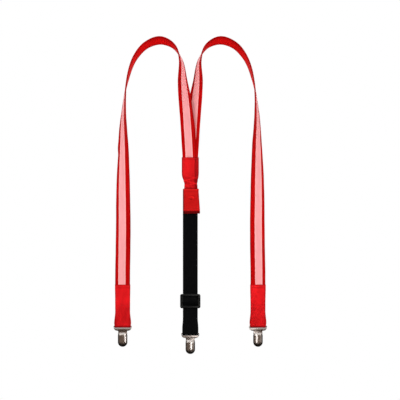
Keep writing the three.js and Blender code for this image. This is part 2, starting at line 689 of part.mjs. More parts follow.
place(suspenders, "junction_sleeve", junctionSleeve(), "satin");
place(suspenders, "battery_pouch", batteryPouch(), "satin");
place(suspenders, "battery_case", batteryCase(), "plastic");
place(suspenders, "battery_cover", batteryCover(), "plastic");
place(suspenders, "cover_screw", coverScrew(), "steel");
place(suspenders, "coin_cell_rear", coinCell(0), "steel");
place(suspenders, "coin_cell_front", coinCell(1), "steel");
place(suspenders, "contact_plate", contactPlate(), "steel");
place(suspenders, "contact_spring", contactSpring(), "steel");
place(suspenders, "circuit_board", circuitBoard(), "board");
place(suspenders, "mode_button", modeButton(), "plastic");
place(suspenders, "back_strap_upper", backStrapUpper(), "elastic");
place(suspenders, "back_strap_middle", backStrapMiddle(), "elastic");
place(suspenders, "back_strap_wrap", backStrapWrap(), "elastic");
place(suspenders, "back_strap_loop", backStrapLoop(), "elastic");

const adjusterPlace = new THREE.Group();
adjusterPlace.position.set(0, ELASTIC.y, ADJUSTER.up);
place(adjusterPlace, "strap_adjuster", strapAdjuster(), "plastic");
suspenders.add(adjusterPlace);
addClip("back", 0, ELASTIC.y, BACK_CLIP.axisUp);

export default suspenders;
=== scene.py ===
"""Looks of the light-up suspenders: webbing, sleeves, pouch, elastic, slide and clips on the CAD frame.

Lengths are in millimetres until a mesh is made, and each mesh is in metres. +Z is up, and -Y is the
side that the striped strap faces look to.
"""

import cmath
import math

import bmesh
import bpy
import numpy as np
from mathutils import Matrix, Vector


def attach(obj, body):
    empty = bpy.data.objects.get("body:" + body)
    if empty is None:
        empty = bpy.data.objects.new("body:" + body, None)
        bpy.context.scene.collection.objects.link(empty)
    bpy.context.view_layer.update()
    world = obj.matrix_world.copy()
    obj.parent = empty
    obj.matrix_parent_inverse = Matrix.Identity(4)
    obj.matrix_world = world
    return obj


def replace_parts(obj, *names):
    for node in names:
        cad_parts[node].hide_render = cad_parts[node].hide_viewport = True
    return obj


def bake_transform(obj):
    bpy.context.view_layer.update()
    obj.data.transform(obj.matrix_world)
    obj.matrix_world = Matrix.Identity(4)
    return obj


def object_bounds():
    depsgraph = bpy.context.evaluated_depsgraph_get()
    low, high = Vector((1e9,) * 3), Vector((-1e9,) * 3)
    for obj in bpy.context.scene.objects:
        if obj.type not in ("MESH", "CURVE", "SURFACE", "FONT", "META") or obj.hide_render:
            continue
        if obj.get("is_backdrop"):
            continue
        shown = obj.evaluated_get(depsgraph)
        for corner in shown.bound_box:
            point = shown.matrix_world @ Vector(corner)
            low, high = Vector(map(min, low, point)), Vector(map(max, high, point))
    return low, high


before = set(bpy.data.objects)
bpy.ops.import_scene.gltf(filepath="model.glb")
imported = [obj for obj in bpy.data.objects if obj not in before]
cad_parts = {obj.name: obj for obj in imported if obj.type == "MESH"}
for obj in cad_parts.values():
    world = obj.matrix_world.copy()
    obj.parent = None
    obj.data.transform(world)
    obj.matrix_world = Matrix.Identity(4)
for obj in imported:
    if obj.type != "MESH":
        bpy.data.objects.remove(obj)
cad_low, cad_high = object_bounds()

# ---- driving dimensions ----
MM = 0.001

# One front strap's centreline: out from the mid-plane, up, lap, turn of the face in degrees, tuck.
STRAP_STATIONS = (
    (113, 80, 0, 0, 0), (113, 124, 0, 0, 0), (112, 205, 0, 10, 0), (112, 284, 0, 27, 0),
    (111.5, 345, 0, 50, 0), (111, 404, 0, 75, 0), (105.5, 455, 0, 95, 0), (93, 493, 0, 107, 0),
    (74, 515.5, 0, 117, 0), (50, 523.8, 0, 122, 0), (28, 514, 0, 106, 0), (16, 491, 0.8, 79, 0),
    (13, 455, 3, 50, 1.2), (8.4, 408, 3.8, 20, 2.5), (4.3, 350, 2.4, 4, 2.5),
    (3.1, 326, 1.7, 0, 2.5), (3.1, 302, 1.7, 0, 2.5),
)
STRAP_STEP = 2.0
WEB_HALF = 12.5
WEB_FACE = 1.0
CHANNEL_HALF = 4.3
CHANNEL_FLOOR = -0.2
STRIPE_OUTWARD = 1.3
TAPE_HALF = 6.0
GAP = 0.3

ELASTIC_HALF = 12.5
ELASTIC_THICKNESS = 1.5
ELASTIC_RIB = 1.25
ELASTIC_Y = 3.0
SLIDE_HALF_THICKNESS = 1.1
ADJUSTER_UP = 88.3
BACK_AXIS_UP = 34.3
SIDE_AXIS_UP = 46.4
SIDE_OUT = 113.0
CLIPS = {"left": (-SIDE_OUT, 0.0, SIDE_AXIS_UP), "right": (SIDE_OUT, 0.0, SIDE_AXIS_UP),
         "back": (0.0, ELASTIC_Y, BACK_AXIS_UP)}

LOOP_BAR_REACH = 1.35

THREAD_RADIUS = 0.19
STITCH_PITCH = 2.5
STITCH_LENGTH = 1.9
STITCH_PROUD = 0.05


# ---- small maths ----
def smooth(value, low, high):
    """0 below low, 1 above high, and an S-shaped rise between."""
    t = np.clip((value - low) / (high - low), 0, 1)
    return t * t * (3 - 2 * t)


def mix(a, b, t):
    return a + (b - a) * t


def hump(value, middle, reach):
    """1 at middle, falling away over about reach on each side."""
    return np.exp(-(((value - middle) / reach) ** 2))


def ripple(u, s, seed=0.0):
    """A slow, uneven wave over a cloth, about -1 to 1, with u across and s along in millimetres."""
    a = np.sin(s / 7.3 + 0.35 * u + seed)
    b = np.sin(s / 17.9 - 0.21 * u + 1.7 * seed + 2.0)
    c = np.sin(s / 4.1 + 0.5 * np.sin(u / 3.0 + seed))
    return 0.4 * a + 0.4 * b + 0.2 * c


def catmull_rom(points, t, centripetal=True):
    """The point at 0 <= t <= 1 of a smooth curve through the points."""
    points = np.asarray(points, float)
    last = len(points) - 1
    i = min(int(last * t), last - 1)
    w = last * t - i
    x1, x2 = points[i], points[i + 1]
    x0 = points[i - 1] if i > 0 else 2 * x1 - x2
    x3 = points[i + 2] if i + 2 <= last else 2 * x2 - x1
    if centripetal:
        d0, d1, d2 = (np.linalg.norm(b - a) ** 0.5 for a, b in ((x0, x1), (x1, x2), (x2, x3)))
        m1 = ((x1 - x0) / d0 - (x2 - x0) / (d0 + d1) + (x2 - x1) / d1) * d1
        m2 = ((x2 - x1) / d1 - (x3 - x1) / (d1 + d2) + (x3 - x2) / d2) * d1
    else:
        m1, m2 = (x2 - x0) / 2, (x3 - x1) / 2
    square, cube = 3 * (x2 - x1) - 2 * m1 - m2, 2 * (x1 - x2) + m1 + m2
    return x1 + m1 * w + square * w**2 + cube * w**3


def even_steps(curve, step, samples=1200):
    """Places 0 <= t <= 1 about step apart along the curve, and their distances along it."""
    t = np.linspace(0, 1, samples)
    points = np.array([curve(x) for x in t])
    lengths = np.concatenate([[0], np.cumsum(np.linalg.norm(np.diff(points, axis=0), axis=1))])
    count = max(2, int(math.ceil(lengths[-1] / step)) + 1)
    along = np.linspace(0, lengths[-1], count)
    return np.interp(along, lengths, t), along


def unit(v):
    """The vector, or each row of vectors, at length 1."""
    return v / np.linalg.norm(v, axis=-1, keepdims=True)


# ---- frames along a band ----
class Frames:
    """Places along a band: its middle, the way across it, the way out of its face, and the distance."""

    def __init__(self, centre, across, normal, along, tuck=None):
        self.centre, self.across, self.normal, self.along = centre, across, normal, along
        self.tuck = np.zeros(len(centre)) if tuck is None else tuck

    def place(self, u, n, s):
        """The point u across and n out, at distance s along, and the frame there."""
        at = [np.array([np.interp(s, self.along, rows[:, k]) for k in range(3)])
              for rows in (self.centre, self.across, self.normal)]
        return at[0] + at[1] * u + at[2] * n, at[1], at[2]


def strap_frames(side):
    """side is -1 for the left strap and 1 for the right one."""
    line = [(side * out, side * lap, up) for out, up, lap, _, _ in STRAP_STATIONS]
    turns = [(turn, tuck) for _, _, _, turn, tuck in STRAP_STATIONS]
    places, along = even_steps(lambda t: catmull_rom(line, t), STRAP_STEP)
    rows = []
    for t in places:
        ahead, behind = min(t + 1e-4, 1), max(t - 1e-4, 0)
        tangent = unit(catmull_rom(line, ahead) - catmull_rom(line, behind))
        turn, tuck = catmull_rom(turns, t, centripetal=False)
        angle = math.radians(turn)
        outwards = np.array([side * tangent[2], 0, -side * tangent[0]])
        normal = outwards * math.sin(angle) + np.array([0, -math.cos(angle), 0])
        normal = unit(normal - tangent * normal.dot(tangent))
        rows.append((catmull_rom(line, t), np.cross(normal, tangent), normal, tuck))
    centre, across, normal = (np.array([row[k] for row in rows]) for k in range(3))
    return Frames(centre, across, normal, along, np.array([row[3] for row in rows]))


def band_frames(points, x, step):
    """Frames of a band that runs through points (y, z) in the plane x, with its face outwards."""
    line = [(x, y, z) for y, z in points]
    places, along = even_steps(lambda t: catmull_rom(line, t), step)
    centre = np.array([catmull_rom(line, t) for t in places])
    tangent = unit(np.gradient(centre, axis=0))
    across = np.tile([1.0, 0, 0], (len(places), 1))
    return Frames(centre, across, unit(np.cross(tangent, across)), along)


def fold_points(radius, y, z, steps=10):
    """A half circle under a loop bar, from the front round to the back."""
    angles = [math.pi * (1 + i / steps) for i in range(steps + 1)]
    return [(y + radius * math.cos(a), z + radius * math.sin(a)) for a in angles]


# ---- meshes ----
# The slot of each look that isn't named after its slot.
SLOTS = {"sleeve": "satin", "pouch": "satin", "red_thread": "satin", "pink_thread": "sheer_tape",
         "black_thread": "elastic", "plate_nickel": "nickel"}


def piece(name, points, faces, look, weave=None, sharp=42, tone=None):
    """An object from points in millimetres, with the material of its look.

    weave holds each point's place on the cloth, and tone how much the cloth's colour is lightened or
    darkened there, mostly painted light and shade.
    """
    mesh = bpy.data.meshes.new(name)
    mesh.from_pydata((np.asarray(points, float) * MM).tolist(), [], faces)
    if weave is not None:
        attribute = mesh.attributes.new("weave", "FLOAT_VECTOR", "POINT")
        attribute.data.foreach_set("vector", np.asarray(weave, np.float32).ravel())
        shade = mesh.attributes.new("tone", "FLOAT", "POINT")
        shade.data.foreach_set("value", np.ones(len(points), np.float32) if tone is None
                               else np.asarray(tone, np.float32))
    work = bmesh.new()
    work.from_mesh(mesh)
    bmesh.ops.remove_doubles(work, verts=work.verts, dist=1e-7)
    bmesh.ops.recalc_face_normals(work, faces=work.faces)
    work.to_mesh(mesh)
    work.free()
    mesh.polygons.foreach_set("use_smooth", [True] * len(mesh.polygons))
    mesh.set_sharp_from_angle(angle=math.radians(sharp))
    mesh.materials.append(MATERIALS[look])
    obj = bpy.data.objects.new(name, mesh)
    bpy.context.scene.collection.objects.link(obj)
    SLOTS.get(look, look)
    return obj


def stand_in(obj, body, node):
    """The piece rides on the body and is shown instead of the CAD node."""
    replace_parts(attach(obj, body), node)


def loft_faces(rings, around, capped=True):
    """Faces between rings of points that each close on themselves."""
    faces = []
    for i in range(rings - 1):
        for j in range(around):
            k = (j + 1) % around
            faces.append((i * around + j, i * around + k, (i + 1) * around + k, (i + 1) * around + j))
    if capped:
        faces.append(tuple(reversed(range(around))))
        faces.append(tuple((rings - 1) * around + j for j in range(around)))
    return faces


class Solid:
    """Points and faces gathered loft by loft, for a piece of several closed shapes."""

    def __init__(self):
        self.points, self.faces = [], []

    def loft(self, rings):
        first = len(self.points)
        for ring in rings:
            self.points.extend(ring)
        faces = loft_faces(len(rings), len(rings[0]))
        self.faces.extend(tuple(first + v for v in face) for face in faces)


def ribbon(name, frames, section, look, tone=None):
    """Lofts section(i), a closed outline of (across, outwards), along the frames."""
    points, weave, tones = [], [], []
    for i, s in enumerate(frames.along):
        outline = section(i)
        u, n = outline[:, 0:1], outline[:, 1:2]
        points.append(frames.centre[i] + frames.across[i] * u + frames.normal[i] * n)
        weave.append(np.hstack([u, np.full_like(u, s), n]))
        tones.append(tone(i, outline) if tone else np.ones(len(outline)))
    faces = loft_faces(len(points), len(points[0]))
    return piece(name, np.vstack(points), faces, look, np.vstack(weave), tone=np.concatenate(tones))


def band_outline(half, thickness, columns, top=None, bottom=None):
    """A flat band's cut outline with rounded edges; top(u) and bottom(u) lift its two faces."""
    edge = thickness / 2
    u = np.linspace(-half + edge, half - edge, columns)
    low = np.column_stack([u, np.full(columns, -edge) + (bottom(u) if bottom else 0)])
    high = np.column_stack([u, np.full(columns, edge) + (top(u) if top else 0)])[::-1]
    angles = np.radians([-60, -25, 25, 60])
    shift_right = (high[0, 1] - edge + low[-1, 1] + edge) / 2
    shift_left = (high[-1, 1] - edge + low[0, 1] + edge) / 2
    right = np.column_stack([half - edge + edge * np.cos(angles), edge * np.sin(angles) + shift_right])
    left = np.column_stack([-half + edge - edge * np.cos(angles), -edge * np.sin(angles) + shift_left])
    return np.vstack([low, right, high, left])


STITCH_SIDES = 6
STITCH_RINGS = ((-0.5, 0.45, -0.7), (-0.36, 0.9, -0.1), (0, 1, 0.15), (0.36, 0.9, -0.1), (0.5, 0.45, -0.7))


def stitches(name, rows, look):
    """Short thread capsules. rows holds (point, way along, way out) for each stitch."""
    solid, weave = Solid(), []
    turns = [2 * math.pi * k / STITCH_SIDES for k in range(STITCH_SIDES)]
    for number, (at, along, out) in enumerate(rows):
        sideways = np.cross(along, out)
        rings = []
        for shift, width, sink in STITCH_RINGS:
            middle = at + along * STITCH_LENGTH * shift + out * sink * THREAD_RADIUS
            radius = THREAD_RADIUS * width
            rings.append([middle + radius * (sideways * math.cos(a) + out * math.sin(a)) for a in turns])
            weave.extend((turn, number + shift, width) for turn in turns)
        solid.loft(rings)
    return piece(name, solid.points, solid.faces, look, weave, sharp=180)


def row_on_frames(frames, u, n, start, end, pitch=STITCH_PITCH):
    """Stitch places on a line along a band, u across and n out."""
    rows = []
    for s in np.arange(start + pitch / 2, end - pitch / 4, pitch):
        width = u(s) if callable(u) else u
        height = n(s) if callable(n) else n
        at, _, out = frames.place(width, height, s)
        ahead, _, _ = frames.place(width, height, s + 0.5)
        rows.append((at, unit(ahead - at), out))
    return rows


def row_across_frames(frames, s, reach, n, pitch=STITCH_PITCH):
    """Stitch places on a line across a band at distance s."""
    rows = []
    for u in np.arange(-reach + pitch / 2, reach, pitch):
        at, across, out = frames.place(u, n, s)
        rows.append((at, across, out))
    return rows


def row_on_ring(ring, step, front_of=math.inf):
    """Stitch places round a level ring of points, where it lies in front of y = front_of."""
    rows = []
    for k in range(0, len(ring), step):
        along = unit(ring[(k + 1) % len(ring)] - ring[k - 1])
        out = np.cross(along, [0, 0, 1.0])
        if ring[k][1] < front_of:
            rows.append((ring[k] + out * STITCH_PROUD, along, out))
    return rows


# ---- materials ----
class Graph:
    """The nodes of a material, or of the world, joined up by short calls."""

    def __init__(self, name, tree=None):
        if tree is None:
            self.material = bpy.data.materials.new(name)
            self.material.use_nodes = True
            tree = self.material.node_tree
            self.shader = tree.nodes["Principled BSDF"]
        self.tree = tree

    def put(self, socket, value):
        if isinstance(value, bpy.types.NodeSocket):
            self.tree.links.new(value, socket)
        elif isinstance(value, (tuple, list)) and len(value) == 3 and socket.type == "RGBA":
            socket.default_value = (*value, 1)
        else:
            socket.default_value = value

    def node(self, kind, inputs=(), **settings):
        made = self.tree.nodes.new(kind)
        for key, value in settings.items():
            setattr(made, key, value)
        for key, value in dict(inputs).items():
            self.put(made.inputs[key], value)
        return made

    def math(self, operation, a, b=0.0):
        return self.node("ShaderNodeMath", {0: a, 1: b}, operation=operation).outputs[0]

    def times(self, a, b):
        return self.math("MULTIPLY", a, b)

    def plus(self, a, b):
        return self.math("ADD", a, b)

    def weave(self):
        """The place on the cloth, in millimetres: across, along, outwards."""
        place = self.node("ShaderNodeAttribute", attribute_name="weave")
        parts = self.node("ShaderNodeSeparateXYZ", {0: place.outputs["Vector"]})
        return place.outputs["Vector"], parts.outputs[0], parts.outputs[1], parts.outputs[2]

    def position(self):
        return self.node("ShaderNodeNewGeometry").outputs["Position"]

    def scaled(self, vector, factors):
        made = self.node("ShaderNodeVectorMath", {0: vector, 1: factors}, operation="MULTIPLY")
        return made.outputs[0]

    def noise(self, vector, scale, detail=3.0, roughness=0.55):
        inputs = {"Vector": vector, "Scale": scale, "Detail": detail, "Roughness": roughness}
        return self.node("ShaderNodeTexNoise", inputs).outputs["Fac"]

    def wave(self, value, pitch, phase=0.0):
        """A sine of value with the given pitch, from 0 to 1."""
        turned = self.plus(self.times(value, 2 * math.pi / pitch), phase)
        return self.plus(self.times(self.math("SINE", turned), 0.5), 0.5)

    def ramp(self, value, low, high, to_low=0.0, to_high=1.0, smooth_step=False):
        kind = "SMOOTHSTEP" if smooth_step else "LINEAR"
        inputs = {"Value": value, "From Min": low, "From Max": high, "To Min": to_low, "To Max": to_high}
        return self.node("ShaderNodeMapRange", inputs, interpolation_type=kind).outputs[0]

    def blend(self, factor, a, b, kind="MIX"):
        made = self.node("ShaderNodeMix", data_type="RGBA", blend_type=kind)
        for socket, value in zip((made.inputs[0], made.inputs[6], made.inputs[7]), (factor, a, b)):
            self.put(socket, value)
        return made.outputs[2]

    def bump(self, height, distance, strength=1.0, soften=0.0):
        """A bump of the given depth in millimetres, over edges rounded by soften millimetres."""
        inputs = {"Height": height, "Distance": distance * MM, "Strength": strength}
        if soften:
            inputs["Normal"] = self.node("ShaderNodeBevel", {"Radius": soften * MM}).outputs[0]
        return self.node("ShaderNodeBump", inputs).outputs[0]

    def finish(self, **inputs):
        for key, value in inputs.items():
            self.put(self.shader.inputs[key.replace("_", " ")], value)
        return self.material


def satin(name, deep, bright, thread_pitch=0.62):
    """Glossy warp-faced webbing: fine lengthwise threads, short weft floats and slubs."""
    g = Graph(name)
    place, u, s, _ = g.weave()
    threads = g.wave(u, thread_pitch)
    floats = g.wave(s, 1.3, g.times(g.math("FLOOR", g.math("DIVIDE", u, thread_pitch)), 2.4))
    height = g.plus(g.times(threads, 0.7), g.times(floats, 0.3))
    slubs = g.noise(g.scaled(place, (2.2, 0.16, 1.0)), 1.0, 3.0)
    clouds = g.noise(g.position(), 26.0, 2.0)
    tone = g.plus(g.times(slubs, 0.45), g.times(clouds, 0.75))
    color = g.blend(g.ramp(tone, 0.35, 0.85), deep, bright)
    # Painted shade in the weave's hollows: the colour darkens where the threads lie low.
    color = g.blend(g.times(g.math("SUBTRACT", 1.0, height), 0.22), color, (0, 0, 0))
    # The colour is scaled by the mesh's tone, which holds painted light and shade.
    tone = g.node("ShaderNodeAttribute", attribute_name="tone").outputs["Fac"]
    color = g.scaled(color, g.node("ShaderNodeCombineXYZ", {0: tone, 1: tone, 2: tone}).outputs[0])
    rough = g.ramp(slubs, 0.3, 0.7, 0.42, 0.56)
    normal = g.bump(height, 0.05, 0.35)
    return g.finish(Base_Color=color, Roughness=rough, Normal=normal, Metallic=0.25,
                    Sheen_Weight=0.04, Sheen_Roughness=0.4, Sheen_Tint=(1, 0.1, 0.12),
                    Specular_IOR_Level=0.12, Specular_Tint=(1, 0.08, 0.08))


def sheer_tape():
    """Pale net tape over the light guide, doubled into a lighter hem along each edge."""
    g = Graph("sheer_tape")
    place, u, s, _ = g.weave()
    net = g.times(g.wave(u, 0.8), g.wave(s, 0.8))
    hem = g.ramp(g.math("ABSOLUTE", u), TAPE_HALF - 1.9, TAPE_HALF - 0.9, smooth_step=True)
    clouds = g.noise(g.scaled(place, (0.25, 0.06, 1.0)), 1.0, 3.0)
    color = g.blend(g.ramp(clouds, 0.3, 0.7), (0.76, 0.28, 0.285), (0.82, 0.32, 0.325))
    color = g.blend(g.times(net, 0.2), color, (0.97, 0.52, 0.52))
    color = g.blend(g.times(hem, 0.5), color, (1.0, 0.47, 0.45))
    normal = g.bump(net, 0.05, 0.5)
    return g.finish(Base_Color=color, Roughness=g.ramp(clouds, 0.3, 0.7, 0.42, 0.55), Normal=normal,
                    Sheen_Weight=0.34, Sheen_Roughness=0.26, Sheen_Tint=(1, 0.72, 0.82),
                    Specular_IOR_Level=0.15)


def elastic():
    """Ribbed black elastic: lengthwise ribs crossed by slanting knit loops."""
    g = Graph("elastic")
    _, u, s, _ = g.weave()
    rib = g.wave(u, ELASTIC_RIB)
    parity = g.math("FLOOR", g.math("DIVIDE", u, ELASTIC_RIB))
    loops = g.wave(s, 0.9, g.times(parity, 3.1))
    fuzz = g.noise(g.position(), 900.0, 2.0)
    height = g.plus(g.times(rib, 0.6), g.times(loops, 0.4))
    # Painted shade in the hollows between ribs and loops, mixed with random fuzz.
    color = g.blend(g.times(height, fuzz), (0.0005, 0.0005, 0.0006), (0.0052, 0.0052, 0.0058))
    return g.finish(Base_Color=color, Roughness=g.ramp(fuzz, 0.3, 0.7, 0.78, 0.95), Sheen_Weight=0.01,
                    Sheen_Roughness=0.5, Specular_IOR_Level=0.06, Normal=g.bump(height, 0.12, 0.7))


def thread(name, color, dark):
    """Sewing thread: painted light and shade along the twist round each stitch."""
    g = Graph(name)
    _, turn, along, _ = g.weave()
    twist = g.wave(g.plus(g.times(along, 6.0), turn), 1.0)
    return g.finish(Base_Color=g.blend(twist, dark, color), Roughness=g.ramp(twist, 0, 1, 0.45, 0.6),
                    Sheen_Weight=0.03, Specular_IOR_Level=0.15, Normal=g.bump(twist, 0.04, 0.6))


def moulded(name, dark, light, roughness, grain=1500.0):
    """Moulded plastic with a fine spark-eroded grain and edges rubbed a little lighter."""
    g = Graph(name)
    spot = g.noise(g.position(), grain, 2.0)
    worn = g.ramp(g.node("ShaderNodeNewGeometry").outputs["Pointiness"], 0.52, 0.60)
    color = g.blend(g.times(worn, 0.6), g.blend(spot, dark, light), light)
    rough = g.ramp(g.noise(g.position(), 120.0, 3.0), 0.3, 0.7, roughness - 0.06, roughness + 0.08)
    return g.finish(Base_Color=color, Roughness=rough, Normal=g.bump(spot, 0.03, 0.4, soften=0.2),
                    Specular_IOR_Level=0.2)


def metal(name, color, tarnish, roughness, scratch=1.0):
    """Plated metal: hairline polishing marks, faint haze, and a darker tone in the crevices."""
    g = Graph(name)
    marks = g.noise(g.scaled(g.position(), (9000.0, 2500.0, 420.0)), 1.0, 2.0)
    haze = g.noise(g.position(), 240.0, 4.0)
    point = g.node("ShaderNodeNewGeometry").outputs["Pointiness"]
    crevice = g.ramp(point, 0.42, 0.50, 1.0, 0.0)
    base = g.blend(g.times(g.ramp(haze, 0.35, 0.75), 0.35), color, tarnish)
    base = g.blend(g.times(crevice, 0.7), base, tarnish)
    rough = g.plus(g.ramp(haze, 0.3, 0.8, roughness, roughness + 0.12),
                   g.times(marks, 0.05 * scratch))
    return g.finish(Base_Color=base, Metallic=1.0, Roughness=rough,
                    Normal=g.bump(marks, 0.01 * scratch, 0.25, soften=0.12))


def light_guide():
    """Milky plastic that lets a little light through."""
    g = Graph("light_guide")
    milk = g.noise(g.position(), 400.0, 3.0)
    color = g.blend(milk, (0.80, 0.56, 0.54), (0.92, 0.74, 0.70))
    return g.finish(Base_Color=color, Roughness=g.ramp(milk, 0.3, 0.7, 0.18, 0.3),
                    Transmission_Weight=0.15, Normal=g.bump(milk, 0.03, 0.3))


def board():
    """Coated circuit board: copper runs seen as paler lines through the green."""
    g = Graph("circuit_board")
    parts = g.node("ShaderNodeSeparateXYZ", {0: g.position()})
    grid = g.times(g.wave(parts.outputs[0], 2.4 * MM), g.wave(parts.outputs[2], 5.2 * MM))
    runs = g.math("GREATER_THAN", grid, 0.55)
    green = g.blend(g.noise(g.position(), 700.0, 3.0), (0.01, 0.12, 0.04), (0.016, 0.17, 0.06))
    color = g.blend(g.times(runs, 0.8), green, (0.05, 0.30, 0.10))
    return g.finish(Base_Color=color, Roughness=0.35, Normal=g.bump(runs, 0.03, 0.5))


MATERIALS = {
    "satin": satin("satin", (0.40, 0.0016, 0.0022), (0.60, 0.0030, 0.0024)),
    "sleeve": satin("sleeve_satin", (0.60, 0.007, 0.009), (0.84, 0.014, 0.018)),
    "pouch": satin("pouch_satin", (0.50, 0.007, 0.007), (0.70, 0.013, 0.012)),
    "sheer_tape": sheer_tape(),
    "elastic": elastic(),
    "black_plastic": moulded("black_plastic", (0.0007, 0.0007, 0.0008), (0.003, 0.003, 0.0034), 0.36),
    "case_plastic": moulded("case_plastic", (0.004, 0.004, 0.0045), (0.018, 0.018, 0.02), 0.5),
    "grip_pad": moulded("grip_pad", (0.66, 0.64, 0.58), (0.80, 0.78, 0.73), 0.5, 900.0),
    "cable": moulded("cable", (0.22, 0.004, 0.004), (0.34, 0.010, 0.010), 0.45),
    "nickel": metal("nickel", (0.66, 0.62, 0.59), (0.30, 0.24, 0.21), 0.13),
    "plate_nickel": metal("plate_nickel", (0.42, 0.37, 0.34), (0.20, 0.16, 0.14), 0.2),
    "steel": metal("steel", (0.50, 0.50, 0.50), (0.26, 0.25, 0.24), 0.26, 2.0),
    "light_guide": light_guide(),
    "circuit_board": board(),
    "red_thread": thread("red_thread", (0.62, 0.016, 0.018), (0.30, 0.004, 0.005)),
    "pink_thread": thread("pink_thread", (0.95, 0.50, 0.48), (0.70, 0.22, 0.22)),
    "black_thread": thread("black_thread", (0.014, 0.014, 0.015), (0.003, 0.003, 0.003)),
}


# ---- front straps ----
FULL_TUCK = 2.5
TUCK_BEND = 1.3
CHANNEL_CLEAR = 5.0
TAPE_HEM = 1.5
TAPE_SEAM = TAPE_HALF - 0.8
WEB_SEAM = WEB_HALF - 1.6
SEAM_END = 1.0


def inner_margin(side, z):
    """How much further the inner edge reaches where the straps meet; the left strap lies in front."""
    meeting = 0.7 * hump(z, 432, 26)
    return meeting + (1.9 * smooth(z, 332, 346) * (1 - smooth(z, 372, 410)) if side < 0 else 0)


def strap_web(name, side, frames):
    """Woven strap with rounded edges, a channel under the tape and slightly wavy margins."""
    middle = -side * STRIPE_OUTWARD
    corners = np.radians([-60, -20, 20, 60])

    def lift(u, i, low_side):
        s, tuck = frames.along[i], frames.tuck[i]
        reach = np.clip((side * u - CHANNEL_CLEAR) / (WEB_HALF - tuck - CHANNEL_CLEAR), 0, 1)
        edge = (np.abs(u) / WEB_HALF) ** 2
        wave = 0.16 * edge * ripple(u, s, side) + 0.05 * (1 - low_side) * np.sin(s / 0.8 + u) * edge
        return wave - TUCK_BEND * tuck / FULL_TUCK * reach**2

    def section(i):
        tuck = frames.tuck[i]
        wave = 0.12 * ripple(0, frames.along[i] * 0.8, 3 + side)
        inner = inner_margin(side, frames.centre[i, 2])
        right = WEB_HALF + wave + (inner if side < 0 else -tuck)
        left = -WEB_HALF + wave + (tuck if side < 0 else -inner)
        flat_left, flat_right = left + WEB_FACE, right - WEB_FACE
        channel = (middle + CHANNEL_HALF, middle, middle - CHANNEL_HALF)
        outline = [(u, -WEB_FACE) for u in np.linspace(flat_left, flat_right, 15)]
        outline += [(flat_right + WEB_FACE * math.cos(a), WEB_FACE * math.sin(a)) for a in corners]
        outline += [(u, WEB_FACE) for u in np.linspace(flat_right, channel[0], 7)]
        outline += [(u, CHANNEL_FLOOR) for u in channel]
        outline += [(u, WEB_FACE) for u in np.linspace(channel[2], flat_left, 7)]
        outline += [(flat_left - WEB_FACE * math.cos(a), -WEB_FACE * math.sin(a)) for a in corners]
        outline = np.array(outline)
        outline[:, 1] += lift(outline[:, 0], i, outline[:, 1] < 0)
        return outline

    def tone(i, outline):
        """Painted shade on the edges, and painted light on the back, which shows over the arches, with
        painted shade towards its upper side and its edges.
        """
        u, n = outline.T
        # Painted shade towards the rounded edges.
        edge = smooth(np.abs(u), WEB_HALF - 2.5, WEB_HALF - 0.4)
        # Painted light on the back face over the arches, with painted shade towards its upper side and its
        # edges.
        rise = np.clip(u * frames.across[i, 2], -6, 6)
        back_edge_shade = 0.75 * (u / WEB_HALF) ** 2
        back = (1.0 - 0.05 * rise - back_edge_shade) * (n < -WEB_FACE / 2)
        return 1.06 + back - 0.26 * edge + 0.06 * ripple(u * 0.6, frames.along[i] * 0.5, side)

    return ribbon(name, frames, section, "satin", tone)


def window_tape(name, side, frames):
    """Sheer tape, sewn down along both edges and lifted a little by the light guide under it."""
    middle = -side * STRIPE_OUTWARD
    columns = np.linspace(-TAPE_HALF, TAPE_HALF, 15)

    def section(i):
        s = frames.along[i]
        wave = 0.10 * ripple(0, s, 7 * side)
        dome = 1 - (columns / TAPE_HALF) ** 4
        hem = 0.08 * (np.abs(columns) > TAPE_HALF - TAPE_HEM)
        top = WEB_FACE + GAP + 0.30 * dome + hem + 0.04 * ripple(columns, s * 1.7, side)
        low = WEB_FACE + 0.06 + 0.24 * dome
        across = middle + columns + wave
        return np.vstack([np.column_stack([across, low]), np.column_stack([across, top])[::-1]])

    made = ribbon(name, frames, section, "sheer_tape")
    attribute = made.data.attributes["weave"]
    values = np.zeros(len(made.data.vertices) * 3, np.float32)
    attribute.data.foreach_get("vector", values)
    values[0::3] -= middle
    attribute.data.foreach_set("vector", values)
    return made


def margin_rows(frames, side):
    """Stitches down both margins; the inner one is drawn in and bent back where the straps meet."""
    rows = []
    for sign in (-1, 1):
        def tuck(s):
            return np.interp(s, frames.along, frames.tuck) if sign == side else 0

        def across(s):
            return sign * (WEB_SEAM - tuck(s))

        def outwards(s):
            return WEB_FACE - 0.75 * TUCK_BEND * tuck(s) / FULL_TUCK + 0.03
        rows += row_on_frames(frames, across, outwards, SEAM_END, frames.along[-1] - SEAM_END)
    return rows


def build_straps():
    """Each strap's web and window tape, with the stitches down both."""
    for name, side in (("left", -1), ("right", 1)):
        frames = strap_frames(side)
        stand_in(strap_web(f"{name}_webbing", side, frames), "root", f"{name}_strap_web")
        stand_in(window_tape(f"{name}_sheer_window", side, frames), "root", f"{name}_window_tape")
        rows = []
        for u in (-TAPE_SEAM, TAPE_SEAM):
            rows += row_on_frames(frames, u - side * STRIPE_OUTWARD, WEB_FACE + 0.44,
                                  SEAM_END, frames.along[-1] - SEAM_END)
        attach(stitches(f"{name}_tape_stitching", rows, "pink_thread"), "root")
        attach(stitches(f"{name}_edge_stitching", margin_rows(frames, side), "red_thread"), "root")


# ---- end sleeves ----
SLEEVE_TOP = 116.0
WEB_END = 80.0
SLEEVE_THICKNESS = 1.0
TAPE_THICKNESS = 0.35
SLEEVE_BACK = WEB_FACE + GAP + SLEEVE_THICKNESS / 2
SLEEVE_FRONT = SLEEVE_BACK + TAPE_THICKNESS + GAP
SLEEVE_FOLD = LOOP_BAR_REACH + SLEEVE_THICKNESS / 2
FOLD_SLACK = 0.55
HEM_SEAM = 2.6
LOWER_SEAM = SLEEVE_TOP - WEB_END - 1
SIDE_SEAM = 11.4


